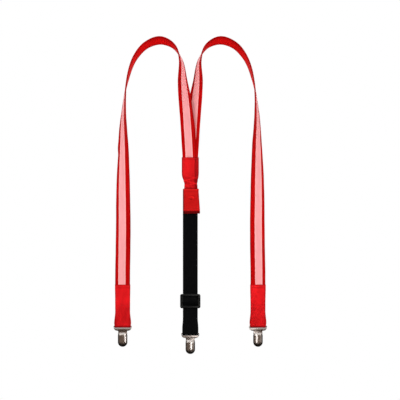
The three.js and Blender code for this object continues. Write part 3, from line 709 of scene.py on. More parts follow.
def sleeve_half_width(z):
    """Narrow over the strap, wider below its end, drawn in again at the clip's bar."""
    upper = mix(12.5, 13.0, smooth(z, WEB_END, SLEEVE_TOP))
    lower = mix(14.2, upper, smooth(z, 50, WEB_END - 8))
    return mix(13.6, lower, smooth(z, SIDE_AXIS_UP, 52.4))


def end_sleeve(name, x, seed):
    """A satin band down the front, round the loop bar and up the back, gathered above the fold."""
    near = SIDE_AXIS_UP + 4
    points = [(-SLEEVE_FRONT, SLEEVE_TOP), (-SLEEVE_FRONT, 98), (-SLEEVE_FRONT, WEB_END),
              (-SLEEVE_FOLD - 0.25, 64), (-SLEEVE_FOLD, near)]
    points += fold_points(SLEEVE_FOLD, 0, SIDE_AXIS_UP - FOLD_SLACK)
    points += [(SLEEVE_FOLD, near), (SLEEVE_FOLD + 0.1, 64), (SLEEVE_BACK, WEB_END),
               (SLEEVE_BACK, 98), (SLEEVE_BACK, SLEEVE_TOP)]
    frames = band_frames(points, x, 0.9)
    total = frames.along[-1]

    def lift(u, i):
        z, s = frames.centre[i, 2], frames.along[i]
        gather = hump(z, 62, 16) * np.sin(u * 1.15 + seed + 0.06 * (z - 60)) * 0.22
        slack = 0.22 * ripple(u, s, seed) * smooth(z, 44, 52)
        hem = 0.30 * (1 - smooth(np.minimum(s, total - s), 4.6, 5.4))
        seam = -0.22 * hump(z, WEB_END + 1, 1.3)
        bar = smooth(z, SIDE_AXIS_UP - 3, SIDE_AXIS_UP + 6)
        return (gather + slack) * bar + hem + seam

    def section(i):
        z, s = frames.centre[i, 2], frames.along[i]
        half = sleeve_half_width(z) + 0.15 * ripple(0, s, seed + 4)
        top = lambda u: np.maximum(lift(u, i), -0.35)
        low = lambda u: np.minimum(np.maximum(lift(u, i), -0.15), 0.05)
        return band_outline(half, SLEEVE_THICKNESS, 27, top, low)

    def tone(i, outline):
        u, z, s = outline[:, 0], frames.centre[i, 2], frames.along[i]
        # Painted shade towards the edges.
        edge = smooth(np.abs(u), 9.5, 13)
        near = min(s, total - s)
        # Painted shadow lines along the hem seam and at each open end.
        seam = 0.3 * hump(near, 5.6, 0.7) + 1.2 * hump(near, 0.2, 1.0)
        # Painted shade below the strap's end and on the fold's underside.
        lower = 1 - smooth(z, WEB_END - 6, WEB_END + 4)
        fold = 1 - smooth(z, SIDE_AXIS_UP - 1.5, SIDE_AXIS_UP + 2.5)
        # Painted light and shade of soft creases.
        gather = 0.10 * ripple(u * 1.5, s * 1.2, seed)
        return (1.08 - 0.26 * edge - 0.45 * seam - 0.16 * lower + gather) * (1 - 0.5 * fold)

    return ribbon(name, frames, section, "sleeve", tone), frames


def sleeve_rows(frames):
    """A seam in each hem, one under each end of the strap, and one up each side between them."""
    total, face = frames.along[-1], SLEEVE_THICKNESS / 2
    rows = []
    for s, reach, n in ((HEM_SEAM, SIDE_SEAM, face + 0.32), (LOWER_SEAM, SIDE_SEAM - 0.2, face - 0.08)):
        rows += row_across_frames(frames, s, reach, n) + row_across_frames(frames, total - s, reach, n)
    start, end = HEM_SEAM + 1.4, LOWER_SEAM - 1
    for u in (-SIDE_SEAM, SIDE_SEAM):
        rows += row_on_frames(frames, u, face + STITCH_PROUD, start, end)
        rows += row_on_frames(frames, u, face + STITCH_PROUD, total - end, total - start)
    return rows


def build_end_sleeves():
    """Each strap's satin end, folded round the clip's bar, and its stitches."""
    for name, side in (("left", -1), ("right", 1)):
        made, frames = end_sleeve(f"{name}_sleeve", side * SIDE_OUT, 1.3 + side)
        stand_in(made, "root", f"{name}_end_sleeve")
        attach(stitches(f"{name}_sleeve_stitching", sleeve_rows(frames), "red_thread"), "root")


# ---- junction sleeve ----
JUNCTION_BOTTOM, JUNCTION_TOP = 271.5, 329.0
JUNCTION_WALL = 0.8
WAIST_UP = 287.0
# Each gather at the waist: height, slope across, width and how far it stands out.
WRINKLES = ((291.5, 0.32, 1.6, 0.85), (286.6, -0.24, 1.3, 0.95), (282.8, 0.14, 1.2, 0.75),
            (295.5, -0.34, 1.7, 0.55), (279.0, -0.10, 1.1, 0.55))


def rounded_box(half_width, half_depth, corner, count):
    """Points round a rectangle with round corners, evenly spaced, from the middle of the +x side."""
    corner = min(corner, half_width - 0.01, half_depth - 0.01)
    wide, deep, quarter = 2 * (half_width - corner), 2 * (half_depth - corner), corner * math.pi / 2
    legs = [deep / 2, quarter, wide, quarter, deep, quarter, wide, quarter, deep / 2]
    starts = np.concatenate([[0], np.cumsum(legs)])
    at, ahead, places = complex(half_width, 0), 1j, []
    for k, leg in enumerate(legs):
        places.append((at, ahead))
        at += (1 + 1j) * ahead * corner if k % 2 else ahead * leg
        ahead *= 1j if k % 2 else 1
    points = []
    for walk in np.linspace(0, starts[-1], count, endpoint=False):
        k = int(np.searchsorted(starts, walk, side="right")) - 1
        gone, (at, ahead) = walk - starts[k], places[k]
        centre = at + 1j * ahead * corner
        place = centre + (at - centre) * cmath.exp(1j * gone / corner) if k % 2 else at + ahead * gone
        points.append((place.real, place.imag))
    return np.array(points)


def junction_gathers(x, z):
    """How far the gathers stand out at x and z."""
    return sum(size * hump(z, middle + slope * x, width) for middle, slope, width, size in WRINKLES)


def junction_tone(points):
    """Painted light on the gathers and painted shade between them, painted shadow along the hem, inside
    the mouth and just above the pouch, a painted highlight on the left half, the painted shadow of the
    right strap's edge under the cloth, and darker towards the left edge.
    """
    x, y, z = points.T
    front = smooth(-y, -1, 1.5)
    # Painted light on the gathers and painted shade between them.
    valley = hump(z, WAIST_UP, 12) * (0.45 * junction_gathers(x, z) - 0.18)
    # Painted shadow along the hem, inside the mouth and just above the pouch.
    seam = 0.4 * hump(z, JUNCTION_TOP - 4.0, 0.7) + hump(z, JUNCTION_TOP, 1.1) + 0.8 * hump(z, 277, 1.1)
    # Painted highlight over the left half above the waist.
    lit = 0.14 * hump(x, -5.5, 5) * smooth(z, WAIST_UP, WAIST_UP + 14)
    # Painted shadow of the right strap's edge, and darker towards the left edge.
    dim = 0.34 * smooth(x, 6.5, 8.6) + 0.20 * hump(x, 7.8, 0.7) + 0.25 * smooth(-x, 11.2, 13)
    return np.clip(0.94 + front * (valley + lit - dim - 0.5 * seam), 0.3, 1.3)


def junction_ring(z, inset, count):
    """The sleeve's cut at a height: gathered at the waist, and open over the two straps above it."""
    opened = smooth(z, WAIST_UP - 7, WAIST_UP + 13)
    pull = 1.1 * hump(z, WAIST_UP, 9)
    half_width = mix(11.6, 14.3, opened) - pull - inset
    half_depth = mix(1.9, 4.6, smooth(z, WAIST_UP - 3, WAIST_UP + 12)) - inset
    ring = rounded_box(half_width, half_depth, mix(1.6, 2.6, opened), count)
    x, y = ring[:, 0].copy(), ring[:, 1].copy()
    flat = smooth(half_width - np.abs(x), 0, 2.5)
    front = smooth(-y, 0, half_depth) * flat
    back = smooth(y, 0, half_depth) * flat
    gathers = junction_gathers(x, z)
    crimp = 0.22 * hump(z, WAIST_UP - 2, 8) * np.sin(x * 1.3 + 0.5 * z)
    step = 1.3 * smooth(x, 7.6, 9.6) * smooth(z, WAIST_UP + 4, WAIST_UP + 22)
    crown = 0.45 * (1 - (x / half_width) ** 2) * opened
    hem = 0.25 * smooth(z, JUNCTION_TOP - 3.4, JUNCTION_TOP - 2.8)
    y += front * (step - crown - gathers - crimp + 0.12 * ripple(x, z, 1.0) - hem)
    y += back * (0.6 * gathers + crimp + 0.4 * crown + hem)
    x += np.sign(x) * 0.2 * (1 - flat) * np.sin(z * 0.9) * hump(z, WAIST_UP, 10)
    return np.column_stack([x + mix(1.0, 0.0, opened), y + mix(-1.1, -0.2, opened), np.full(count, z)])


def satin_shell(name, rings, look, tone, open_ended):
    """A cover lofted up outside and down inside, joined to itself where its ends are open."""
    points, around = np.vstack(rings), len(rings[0])
    faces = loft_faces(len(rings), around, capped=not open_ended)
    if open_ended:
        last = len(points) - around
        faces.extend((last + j, last + (j + 1) % around, (j + 1) % around, j) for j in range(around))
    return piece(name, points, faces, look, points[:, [0, 2, 1]], tone=tone(points))


def build_junction():
    """The satin tube over the crossing straps, with a row of stitches round its hem."""
    count = 120
    heights = np.arange(JUNCTION_BOTTOM, JUNCTION_TOP + 0.01, 0.75)
    rings = [junction_ring(z, 0, count) for z in heights]
    rings += [junction_ring(z, JUNCTION_WALL, count) for z in heights[::-1]]
    made = satin_shell("junction_satin", rings, "sleeve", junction_tone, open_ended=True)
    stand_in(made, "root", "junction_sleeve")
    rows = row_on_ring(junction_ring(JUNCTION_TOP - 2.2, 0, 88), 2)
    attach(stitches("junction_stitching", rows, "red_thread"), "root")


# ---- battery pouch ----
POUCH_BOTTOM, POUCH_TOP = 234.5, 276.0
POUCH_LEFT, POUCH_RIGHT_TOP, POUCH_RIGHT_BOTTOM = -12.1, 14.0, 16.2
POUCH_BACK = 2.0
# The face's cut in the mid-plane: height and place of the cloth, from the bottom up.
POUCH_FRONT = ((POUCH_BOTTOM, -1.0), (235.9, -5.2), (238.2, -8.6), (241.5, -9.8), (254, -9.8),
               (266.5, -9.8), (271, -8.4), (POUCH_TOP, -4.6))
POUCH_WALL = 0.9
POUCH_FLOOR = 1.6
POUCH_SEAMS = (274.4, 242.2)
POUCH_SIDE_SEAM = 1.9
BUTTON_OUT, BUTTON_UP = 2.8, 260.5
# Middle of the painted light and shade round the button, a little below and left of its bump.
BUTTON_SHADING_OUT, BUTTON_SHADING_UP = 1.4, 258.5


def pouch_front(z):
    """How far forwards the pouch's face lies at a height."""
    heights, depths = zip(*POUCH_FRONT)
    spread = [np.interp(z + d, heights, depths) for d in (-1.4, -0.7, 0, 0.7, 1.4)]
    return float(np.mean(spread))


def pouch_ring(z, inset, count):
    """The pouch's cut at a height, with its hem, piping, slack and the bump over the button."""
    t = smooth(z, POUCH_BOTTOM, POUCH_TOP)
    left, right = POUCH_LEFT + inset, mix(POUCH_RIGHT_BOTTOM, POUCH_RIGHT_TOP, t) - inset
    front, back = pouch_front(z) + inset, POUCH_BACK - inset
    half_width, half_depth = (right - left) / 2, (back - front) / 2
    corner = min(2.6, half_depth * 0.8)
    ring = rounded_box(half_width, half_depth, corner, count)
    x, y = ring[:, 0].copy(), ring[:, 1].copy()
    flat = smooth(half_width - np.abs(x), 0, 3)
    face = smooth(-y, 0, half_depth) * flat
    rise = hump(z, 255, 16)
    crown = 0.35 * (1 - (x / half_width) ** 2) * rise
    hem = 0.38 * smooth(z, 272.2, 272.8)
    piping = 0.6 * hump(z, 240.2, 0.75)
    slack = 0.22 * ripple(x * 1.4, z * 1.5, 5.0) * rise
    middle = (left + right) / 2
    from_button = np.hypot(x + middle - BUTTON_OUT, z - BUTTON_UP)
    button = 0.75 * hump(from_button, 0, 2.1) - 0.35 * hump(from_button, 3.6, 0.9)
    dent = -0.5 * hump(from_button, 0, 0.8)
    y -= face * (crown + hem + piping + slack + button + dent)
    side = smooth(half_depth - np.abs(y), 0, 2)
    x += np.sign(x) * side * (0.25 * hem + 0.1 * ripple(y, z, 2.0))
    return np.column_stack([x + middle, y + (front + back) / 2, np.full(count, z)])


def pouch_tone(points):
    """Painted highlights on the piping and hem beside painted shadow lines, painted shade on the
    underside, a darker left edge, and painted light and shade round the button.
    """
    x, y, z = points.T
    front = smooth(-y, 1, 4)
    # Painted shadow lines beside the hem and the piping.
    line = 0.5 * hump(z, 271.6 - 0.03 * x, 0.55) + 0.5 * hump(z, 242.2, 0.6)
    # Painted highlights along the crests of the piping and the hem.
    crest_highlight = 0.35 * hump(z, 240.4, 0.9) + 0.30 * hump(z, 274.8 - 0.03 * x, 0.9)
    # Painted shade on the underside.
    under = 0.48 * (1 - smooth(z, 238.2, 239.6))
    # Darker towards the left edge.
    edge = 0.5 * (1 - smooth(x, POUCH_LEFT + 0.5, POUCH_LEFT + 3.4))
    # Painted light on an arc above the button and painted shade over its middle.
    from_button_shading = np.hypot(x - BUTTON_SHADING_OUT, z - BUTTON_SHADING_UP)
    above = smooth(z - BUTTON_SHADING_UP, 1, 3)
    button_shading = 0.45 * (hump(from_button_shading, 4.2, 0.9) * above - hump(from_button_shading, 0, 1.1))
    return np.clip(0.98 + crest_highlight - under - edge + front * (button_shading - 0.40 * line), 0.3, 1.4)


def build_pouch():
    """The boxed pocket, closed above and below, with seams round it and up its sides."""
    count = 140
    heights = np.concatenate([[POUCH_BOTTOM], np.arange(POUCH_BOTTOM + 0.25, 243, 0.5),
                              np.arange(243, POUCH_TOP - 0.01, 0.75), [POUCH_TOP]])
    rings = [pouch_ring(z, 0, count) for z in heights]
    floor = POUCH_BOTTOM + POUCH_FLOOR
    rings += [pouch_ring(max(z, floor), POUCH_WALL, count) for z in heights[::-1] if z > floor - 0.1]
    made = satin_shell("battery_pouch_satin", rings, "pouch", pouch_tone, open_ended=False)
    stand_in(made, "root", "battery_pouch")
    rows, upwards, forwards = [], np.array([0, 0, 1.0]), np.array([0, -1.0, 0])
    for z in POUCH_SEAMS:
        rows += row_on_ring(pouch_ring(z, 0, 200), 6, front_of=1.0)
    for z in np.arange(244, 271, STITCH_PITCH):
        for sign in (-1, 1):
            ring = pouch_ring(z, 0, 200)
            face = ring[ring[:, 1] < 0]
            target = sign * ((sign * face[:, 0]).max() - POUCH_SIDE_SEAM)
            at = face[np.argmin(np.abs(face[:, 0] - target) + 0.2 * face[:, 1])]
            rows.append((at + STITCH_PROUD * forwards, upwards, forwards))
    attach(stitches("pouch_stitching", rows, "red_thread"), "root")


# ---- back strap ----
# The elastic lies WEAVE behind or in front of the slide's middle, and REACH beyond it is free.
WEAVE = SLIDE_HALF_THICKNESS + GAP + ELASTIC_THICKNESS / 2
RETURN_LAY = WEAVE + ELASTIC_THICKNESS + 0.45
REACH = 13.0
ELASTIC_TOP = 274.0
ELASTIC_SPLIT = 195.0
LOOP_TOP, LOOP_END = 75.5, 36.5
LOOP_SLACK = 0.4
BAND_SEAM_START, BAND_SEAM_END = 2.5, 30
BAND_SEAM = 11.0
BAND_FACE = 0.85


def height(up):
    """The point on the mid-plane at a height, in metres."""
    return (0, 0, up * MM)


def elastic_band(name, points, step, flare=None):
    """Ribbed elastic through points given from the slide's middle, as (behind, above)."""
    frames = band_frames([(ELASTIC_Y + y, ADJUSTER_UP + z) for y, z in points], 0, step)
    columns = 61

    def section(i):
        z = frames.centre[i, 2]
        half = ELASTIC_HALF + (flare(z) if flare else 0) + 0.05 * math.sin(z * 1.9)
        ribs = lambda u: 0.07 * np.cos(2 * math.pi * u / ELASTIC_RIB)
        return band_outline(half, ELASTIC_THICKNESS, columns, ribs, lambda u: -ribs(u))

    return ribbon(name, frames, section, "elastic"), frames


def build_back_strap():
    """Four lengths of one elastic band, split where the joints move them apart."""
    high = ELASTIC_TOP - ADJUSTER_UP
    split = ELASTIC_SPLIT - ADJUSTER_UP
    upper, frames = elastic_band("elastic_upper", [(0, high), (0, (high + split) / 2), (0, split)], 1.6)
    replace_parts(upper, "back_strap_upper")
    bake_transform(upper)

    points = [(0, split), (0, REACH + 40), (0.3 * WEAVE, REACH + 14), (WEAVE, REACH)]
    middle, _ = elastic_band("elastic_middle", points, 1.6)
    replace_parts(middle, "back_strap_middle")
    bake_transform(middle)

    half = [(WEAVE, REACH), (WEAVE, 7.8), (-WEAVE, 2.2)]
    wrap, _ = elastic_band("elastic_wrap", half + [(y, -z) for y, z in reversed(half)], 0.6)
    stand_in(wrap, "strap_adjuster", "back_strap_wrap")

    fold = BACK_AXIS_UP - ADJUSTER_UP
    radius = LOOP_BAR_REACH + ELASTIC_THICKNESS / 2
    points = [(WEAVE, -REACH), (0.4 * WEAVE, -REACH - 14), (-radius, fold + 6)]
    points += fold_points(radius, 0, fold - LOOP_SLACK)
    points += [(radius, fold + 6), (RETURN_LAY, -REACH - 4), (RETURN_LAY, -REACH + 4.5),
               (WEAVE + GAP, -2), (WEAVE + GAP, 2)]
    flare = lambda z: 1.1 * (1 - smooth(z, 42, 60))
    loop, _ = elastic_band("elastic_loop", points, 0.8, flare)
    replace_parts(loop, "back_strap_loop")
    height(LOOP_TOP)
    height(LOOP_END)
    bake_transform(loop)

    rows = []
    for s in (BAND_SEAM_START, BAND_SEAM_END):
        rows += row_across_frames(frames, s, BAND_SEAM, BAND_FACE)
    for u in (-BAND_SEAM, BAND_SEAM):
        rows += row_on_frames(frames, u, BAND_FACE, BAND_SEAM_START, BAND_SEAM_END)
    back = [(at - out * 2 * BAND_FACE, along, -out) for at, along, out in rows]
    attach(stitches("band_stitching", back, "black_thread"), "root")


# ---- stamped and moulded plates ----
def arc(x, z, radius, start, end, steps=8):
    """Points of an arc about (x, z), from start to end in degrees."""
    angles = np.radians(np.linspace(start, end, steps + 1))
    return [(x + radius * math.cos(a), z + radius * math.sin(a)) for a in angles]


def round_rectangle(half_width, half_height, corner, z=0.0, steps=6):
    """A closed outline (x, z) centred on height z."""
    w, h = half_width - corner, half_height - corner
    points = []
    for start, x, up in ((0, w, h), (90, -w, h), (180, -w, -h), (270, w, -h)):
        points += arc(x, z + up, corner, start, start + 90, steps)
    return points


def stamped(name, outlines, half_thickness, bevel, look, at, shape=None):
    """A plate with rounded edges from closed outlines (x, z); the later outlines are holes."""
    curve = bpy.data.curves.new(name + "_outline", "CURVE")
    curve.dimensions = "2D"
    curve.fill_mode = "BOTH"
    curve.extrude = (half_thickness - bevel) * MM
    curve.bevel_depth = bevel * MM
    curve.bevel_resolution = 3
    curve.offset = -bevel * MM
    for outline in outlines:
        spline = curve.splines.new("POLY")
        spline.points.add(len(outline) - 1)
        for point, (x, z) in zip(spline.points, outline):
            point.co = (x * MM, z * MM, 0, 1)
        spline.use_cyclic_u = True
    holder = bpy.data.objects.new(name + "_outline", curve)
    bpy.context.scene.collection.objects.link(holder)
    bpy.context.view_layer.update()
    mesh = bpy.data.meshes.new_from_object(holder.evaluated_get(bpy.context.evaluated_depsgraph_get()))
    bpy.data.objects.remove(holder)
    bpy.data.curves.remove(curve)
    flat = np.array([v.co for v in mesh.vertices]) / MM
    points = np.column_stack([flat[:, 0], -flat[:, 2], flat[:, 1]])
    if shape is not None:
        points = shape(points)
    faces = [tuple(face.vertices) for face in mesh.polygons]
    bpy.data.meshes.remove(mesh)
    return piece(name, points + np.array(at), faces, look, sharp=35)


def build_adjuster():
    """The moulded slide: a rounded frame with a centre bar."""
    outline = round_rectangle(17, 12, 3.2, steps=8)
    slots = [round_rectangle(12.3, 3, 0.8, z) for z in (5, -5)]
    made = stamped("slide_frame", [outline] + slots, SLIDE_HALF_THICKNESS, 0.8, "black_plastic",
                   (0, ELASTIC_Y, ADJUSTER_UP))
    stand_in(made, "strap_adjuster", "strap_adjuster")


# ---- clips ----
# Places are measured from the loop bar's axis: y forwards is negative, z up is positive.
PIN_Y, PIN_Z = -3.4, -12.5
KNUCKLE_RADIUS, KNUCKLE_BORE = 1.8, 1.1
KNUCKLE_HALF = 5.4
LEVER_HALF, LEVER_TOP, LEVER_END = 8.0, -14.6, -26.3
LEVER_BASE, LEVER_RISE, LEVER_SHELL, LEVER_RIM = -4.3, 2.7, 0.9, 0.3
# The sheet between knuckle and tongue, as (y, z).
BRIDGE = ((-4.5, -10.9), (-5.1, -11.7), (-6.1, -13.6), (-6.75, -14.8), (-6.7, -15.8), (-6.0, -15.8),
          (-5.5, -14.3), (-4.6, -12.9), (-4.0, -11.3))
EAR_INNER, EAR_OUTER, EAR_EDGE = 6.7, 7.5, 0.15
JAW_HALF, JAW_FRONT, JAW_BACK, JAW_LIP = 6.3, -3.7, -3.0, -2.5
JAW_TOP, JAW_BOTTOM, JAW_CORNER = -14.0, -30.0, 1.4
JAW_EYE = 1.6


def nickel_piece(name, solid, at, sharp=38):
    """A piece of polished nickel, moved from the loop bar's axis to at."""
    return piece(name, np.array(solid.points) + np.array(at), solid.faces, "nickel", sharp=sharp)


def scaled_ring(profile, x, factor, y0=PIN_Y, z0=PIN_Z):
    """The profile (y, z) at x, scaled about (y0, z0), which is the pin unless given."""
    return [(x, y0 + (y - y0) * factor, z0 + (z - z0) * factor) for y, z in profile]


def eye(radius, start, steps):
    """Points (y, z) round the front of the pin, from start down to its underside."""
    return [(PIN_Y + radius * math.sin(a), PIN_Z + radius * math.cos(a))
            for a in np.linspace(start, -math.pi, steps)]


def clip_outline():
    """The clip's plate from the front: loop and wings, neck, and round lower end."""
    half, bar, bottom, corner, neck = 15.0, 0.9, -7.6, 6.0, 7.4
    right = arc(half - bar, 0, bar, 90, 0, 4)
    right += arc(half - corner, bottom + corner, corner, 0, -90, 8)
    right += arc(neck + 1.2, bottom - 1.2, 1.2, 90, 180, 4)
    low = arc(0, LEVER_END, neck, 0, -180, 24)
    left = [(-x, z) for x, z in reversed(right)]
    return right + low + left


def clip_ears(name, at):
    """Round-topped ears from the plate forwards to the hinge pin."""
    radius = KNUCKLE_RADIUS
    profile = [(-0.1, PIN_Z + radius)] + eye(radius, 0, 15) + [(-0.1, PIN_Z - radius)]
    solid = Solid()
    for side in (-1, 1):
        cuts = ((EAR_INNER, 0.12), (EAR_INNER + EAR_EDGE, 0), (EAR_OUTER - EAR_EDGE, 0), (EAR_OUTER, 0.12))
        solid.loft([scaled_ring(profile, side * x, 1 - shrink / radius) for x, shrink in cuts])
    return nickel_piece(name, solid, at, sharp=42)


def clip_plate(name, at):
    """The stamped plate, with the slot that the webbing loops through."""
    slot = round_rectangle(13.9, 1.2, 0.5, -2.1)

    def roll(points):
        """The wings' lower edge rolls forwards a little."""
        wing = smooth(np.abs(points[:, 0]), 8.5, 13.0)
        points[:, 1] -= 0.9 * wing * smooth(-points[:, 2], 1.5, 8.5)
        return points

    return stamped(name, [clip_outline(), slot], 0.6, 0.28, "plate_nickel", at, roll)


def lever_surface(inset, rows, columns):
    """A long dome over the tongue's outline, drawn in by inset; the last row is the round tip."""
    radius, rise = LEVER_HALF - inset, LEVER_RISE - inset
    heights = list(np.linspace(LEVER_TOP, LEVER_END, rows))
    heights += [LEVER_END - radius * math.sin(a) for a in np.linspace(0, math.pi / 2, 14)[1:]]
    grid = []
    for z in heights:
        reach = math.sqrt(max(radius**2 - max(LEVER_END - z, 0) ** 2, 0))
        for a in np.linspace(-math.pi / 2, math.pi / 2, columns):
            y = LEVER_BASE - rise * (reach / radius) * math.cos(a)
            grid.append((reach * math.sin(a), y, z))
    return np.array(grid), len(heights)


def lever_tongue(name, at):
    """The lever's shell: polished dome outside, hollow behind, with a flat turned rim."""
    columns = 33
    outer, count = lever_surface(0, 18, columns)
    inner, _ = lever_surface(LEVER_SHELL, 18, columns)
    down = [i * columns for i in range(count)]
    rim = down + [first + columns - 1 for first in reversed(down)]
    skirt = np.array([0, LEVER_RIM, 0])
    solid = Solid()
    solid.points = np.vstack([outer, inner, outer[rim] + skirt, inner[rim] + skirt])
    shift = len(outer)
    for first in down[:-1]:
        for a in range(first, first + columns - 1):
            b = a + columns
            solid.faces.append((a, a + 1, b + 1, b))
            solid.faces.append((shift + a, shift + b, shift + b + 1, shift + a + 1))
    outer_skirt = list(range(2 * shift, 2 * shift + len(rim)))
    inner_skirt = [v + len(rim) for v in outer_skirt]
    top_outer = [outer_skirt[0], *range(columns), outer_skirt[-1]]
    top_inner = [inner_skirt[0], *range(shift, shift + columns), inner_skirt[-1]]
    for low, high in ((rim, outer_skirt), (outer_skirt, inner_skirt),
                      (inner_skirt, [shift + v for v in rim]), (top_outer, top_inner)):
        solid.faces.extend((low[i], low[i + 1], high[i + 1], high[i]) for i in range(len(low) - 1))
    return nickel_piece(name, solid, at)


def lever_knuckle(name, at):
    """The lever's curl round the hinge pin, with the sheet that joins it to the tongue."""
    outer = arc(PIN_Y, PIN_Z, KNUCKLE_RADIUS, 150, -205, 32)
    hole = arc(PIN_Y, PIN_Z, KNUCKLE_BORE, -205, 150, 32)
    half, solid, rings = KNUCKLE_HALF, Solid(), []
    for x, ease in ((-half, 0.15), (0.2 - half, 0), (half - 0.2, 0), (half, 0.15)):
        ease /= KNUCKLE_RADIUS
        rings.append(scaled_ring(outer, x, 1 - ease) + scaled_ring(hole, x, 1 + ease))
    solid.loft(rings)
    middle = np.mean(BRIDGE, axis=0)
    solid.loft([scaled_ring(BRIDGE, x, 1 - ease, *middle)
                for x, ease in ((-half, 0.1), (0.15 - half, 0), (half - 0.15, 0), (half, 0.1))])
    return nickel_piece(name, solid, at)


def jaw_profile(x):
    """The jaw's cut (y, z) at x: a ribbed sheet whose lower edge turns back towards the pad."""
    over = max(abs(x) - (JAW_HALF - JAW_CORNER), 0)
    bottom = JAW_BOTTOM + JAW_CORNER - math.sqrt(JAW_CORNER**2 - min(over, JAW_CORNER) ** 2)
    rib = 0.38 * hump(abs(x), 3.0, 0.8)
    heights = np.linspace(JAW_TOP, bottom + 1.4, 22)
    pressed = rib * smooth(heights, JAW_BOTTOM + 2.5, JAW_BOTTOM + 4) * (1 - smooth(heights, -17.5, -16))
    front = [(JAW_FRONT - lift, z) for lift, z in zip(pressed, heights)]
    back = [(JAW_BACK - lift, z) for lift, z in zip(pressed, heights)]
    lip = [(JAW_FRONT + 0.12, bottom + 0.5), (JAW_FRONT + 0.5, bottom + 0.08), (JAW_LIP - 0.1, bottom),
           (JAW_LIP, bottom + 0.3), (JAW_LIP - 0.1, bottom + 0.65), (JAW_BACK, bottom + 1.0)]
    return front + lip + back[::-1]


def clip_jaw(name, at):
    """The sprung jaw, with an eye on each side that turns about the pin."""
    flat = JAW_HALF - 0.08
    solid = Solid()
    solid.loft([[(x, y, z) for y, z in jaw_profile(x)]
                for x in (-JAW_HALF, *np.linspace(-flat, flat, 61), JAW_HALF)])
    foot = JAW_TOP - 0.9
    profile = [(JAW_BACK, PIN_Z)] + eye(JAW_EYE, 0.9, 18) + [(JAW_FRONT + 0.1, foot), (JAW_BACK, foot)]
    for side in (-1, 1):
        solid.loft([scaled_ring(profile, side * x, 1) for x in (JAW_HALF - 0.6, JAW_HALF)])
    return nickel_piece(name, solid, at)


def build_clips():
    """Each clip's plate and ears, its lever in two parts, and its jaw."""
    for clip, at in CLIPS.items():
        frame_body = f"{clip}_clip"
        stand_in(clip_plate(f"{clip}_clip_plate", at), frame_body, f"{clip}_clip_frame")
        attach(clip_ears(f"{clip}_clip_ears", at), frame_body)
        stand_in(lever_tongue(f"{clip}_lever_tongue", at), f"{clip}_clip_lever", f"{clip}_clip_lever")
        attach(lever_knuckle(f"{clip}_lever_knuckle", at), f"{clip}_clip_lever")
        stand_in(clip_jaw(f"{clip}_jaw_plate", at), f"{clip}_clip_jaw", f"{clip}_clip_jaw")


# ---- CAD nodes that stay ----
KEPT = {
    "light_guide": ("left_light_guide", "right_light_guide"),
    "circuit_board": ("circuit_board", "left_led_module", "right_led_module"),
    "cable": ("left_led_cable", "right_led_cable"),
    "case_plastic": ("battery_case", "battery_cover", "mode_button"),
    "steel": ("cover_screw", "coin_cell_rear", "coin_cell_front", "contact_plate", "contact_spring",
              "left_clip_pin", "right_clip_pin", "back_clip_pin"),
    "grip_pad": ("left_clip_pad", "right_clip_pad", "back_clip_pad"),
}


def dress_kept_nodes():
    """Gives the CAD nodes that no piece replaces their materials."""
    for look, names in KEPT.items():
        for name in names:
            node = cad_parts[name]
            node.data.materials.clear()
            node.data.materials.append(MATERIALS[look])


# ---- studio ----
def studio_world():
    """White to the camera, soft and brighter from above to the cloth, and a dim room to the metal."""
    world = bpy.data.worlds.new("studio")
    bpy.context.scene.world = world
    world.use_nodes = True
    world.node_tree.nodes.clear()
    g = Graph("studio", world.node_tree)

    def gradient(source, *stops):
        """A colour ramp over -1 to 1 of source; each stop is (value, colour or grey)."""
        half = g.node("ShaderNodeMath", {0: source, 1: 0.5, 2: 0.5}, operation="MULTIPLY_ADD")
        ramp = g.node("ShaderNodeValToRGB", {0: half.outputs[0]})
        while len(ramp.color_ramp.elements) < len(stops):
            ramp.color_ramp.elements.new(0.5)
        for element, (value, color) in zip(ramp.color_ramp.elements, stops):
            element.position = (value + 1) / 2
            element.color = (*(color if isinstance(color, tuple) else (color,) * 3), 1)
        return ramp.outputs[0]

    def background(color):
        return g.node("ShaderNodeBackground", {0: color, 1: 1.0}).outputs[0]

    def either(factor, a, b):
        return g.node("ShaderNodeMixShader", {0: factor, 1: a, 2: b}).outputs[0]

    place = g.node("ShaderNodeTexCoord").outputs["Generated"]
    _, depthwise, upwards = g.node("ShaderNodeSeparateXYZ", {0: place}).outputs
    depth = gradient(depthwise, (-1, (0.26, 0.19, 0.14)), (-0.8, (0.20, 0.15, 0.12)),
                     (-0.4, (0.035, 0.03, 0.03)), (0.3, 0.05), (0.7, 0.6), (1, 0.9))
    height = gradient(upwards, (-1, 0.02), (-0.3, 0.1), (0.0, 0.75), (1, 1))
    ceiling = gradient(upwards, (0.25, 0), (0.55, (0.6, 0.58, 0.54)), (1, 1))
    room = g.blend(1, g.blend(1, depth, height, "MULTIPLY"), ceiling, "ADD")
    sky = gradient(upwards, (-1, 0.25), (0, 0.46), (1, 0.75))
    rays = g.node("ShaderNodeLightPath").outputs
    seen = either(rays["Is Glossy Ray"], background(sky), background(room))
    surface = either(rays["Is Camera Ray"], seen, background((1, 1, 1)))
    g.node("ShaderNodeOutputWorld", {0: surface})


def area_light(name, at, aim, size, power):
    """A soft rectangular light that faces aim and isn't seen by the camera."""
    data = bpy.data.lights.new(name, "AREA")
    data.shape = "RECTANGLE"
    data.size, data.size_y = size
    data.energy = power
    lamp = bpy.data.objects.new(name, data)
    lamp.location = at
    way = np.array(aim) - np.array(at)
    yaw = math.atan2(way[1], way[0]) - math.pi / 2
    pitch = math.atan2(way[2], math.hypot(way[0], way[1])) + math.pi / 2
    lamp.rotation_euler = (pitch, 0, yaw)
    lamp.visible_camera = False
    bpy.context.scene.collection.objects.link(lamp)


# The floor lies below the lowest clip of the most stretched pose. In metres.
FLOOR_HALF, FLOOR_LEVEL = 3.0, -0.07
LIT_POINT = (0, 0, 0.26)
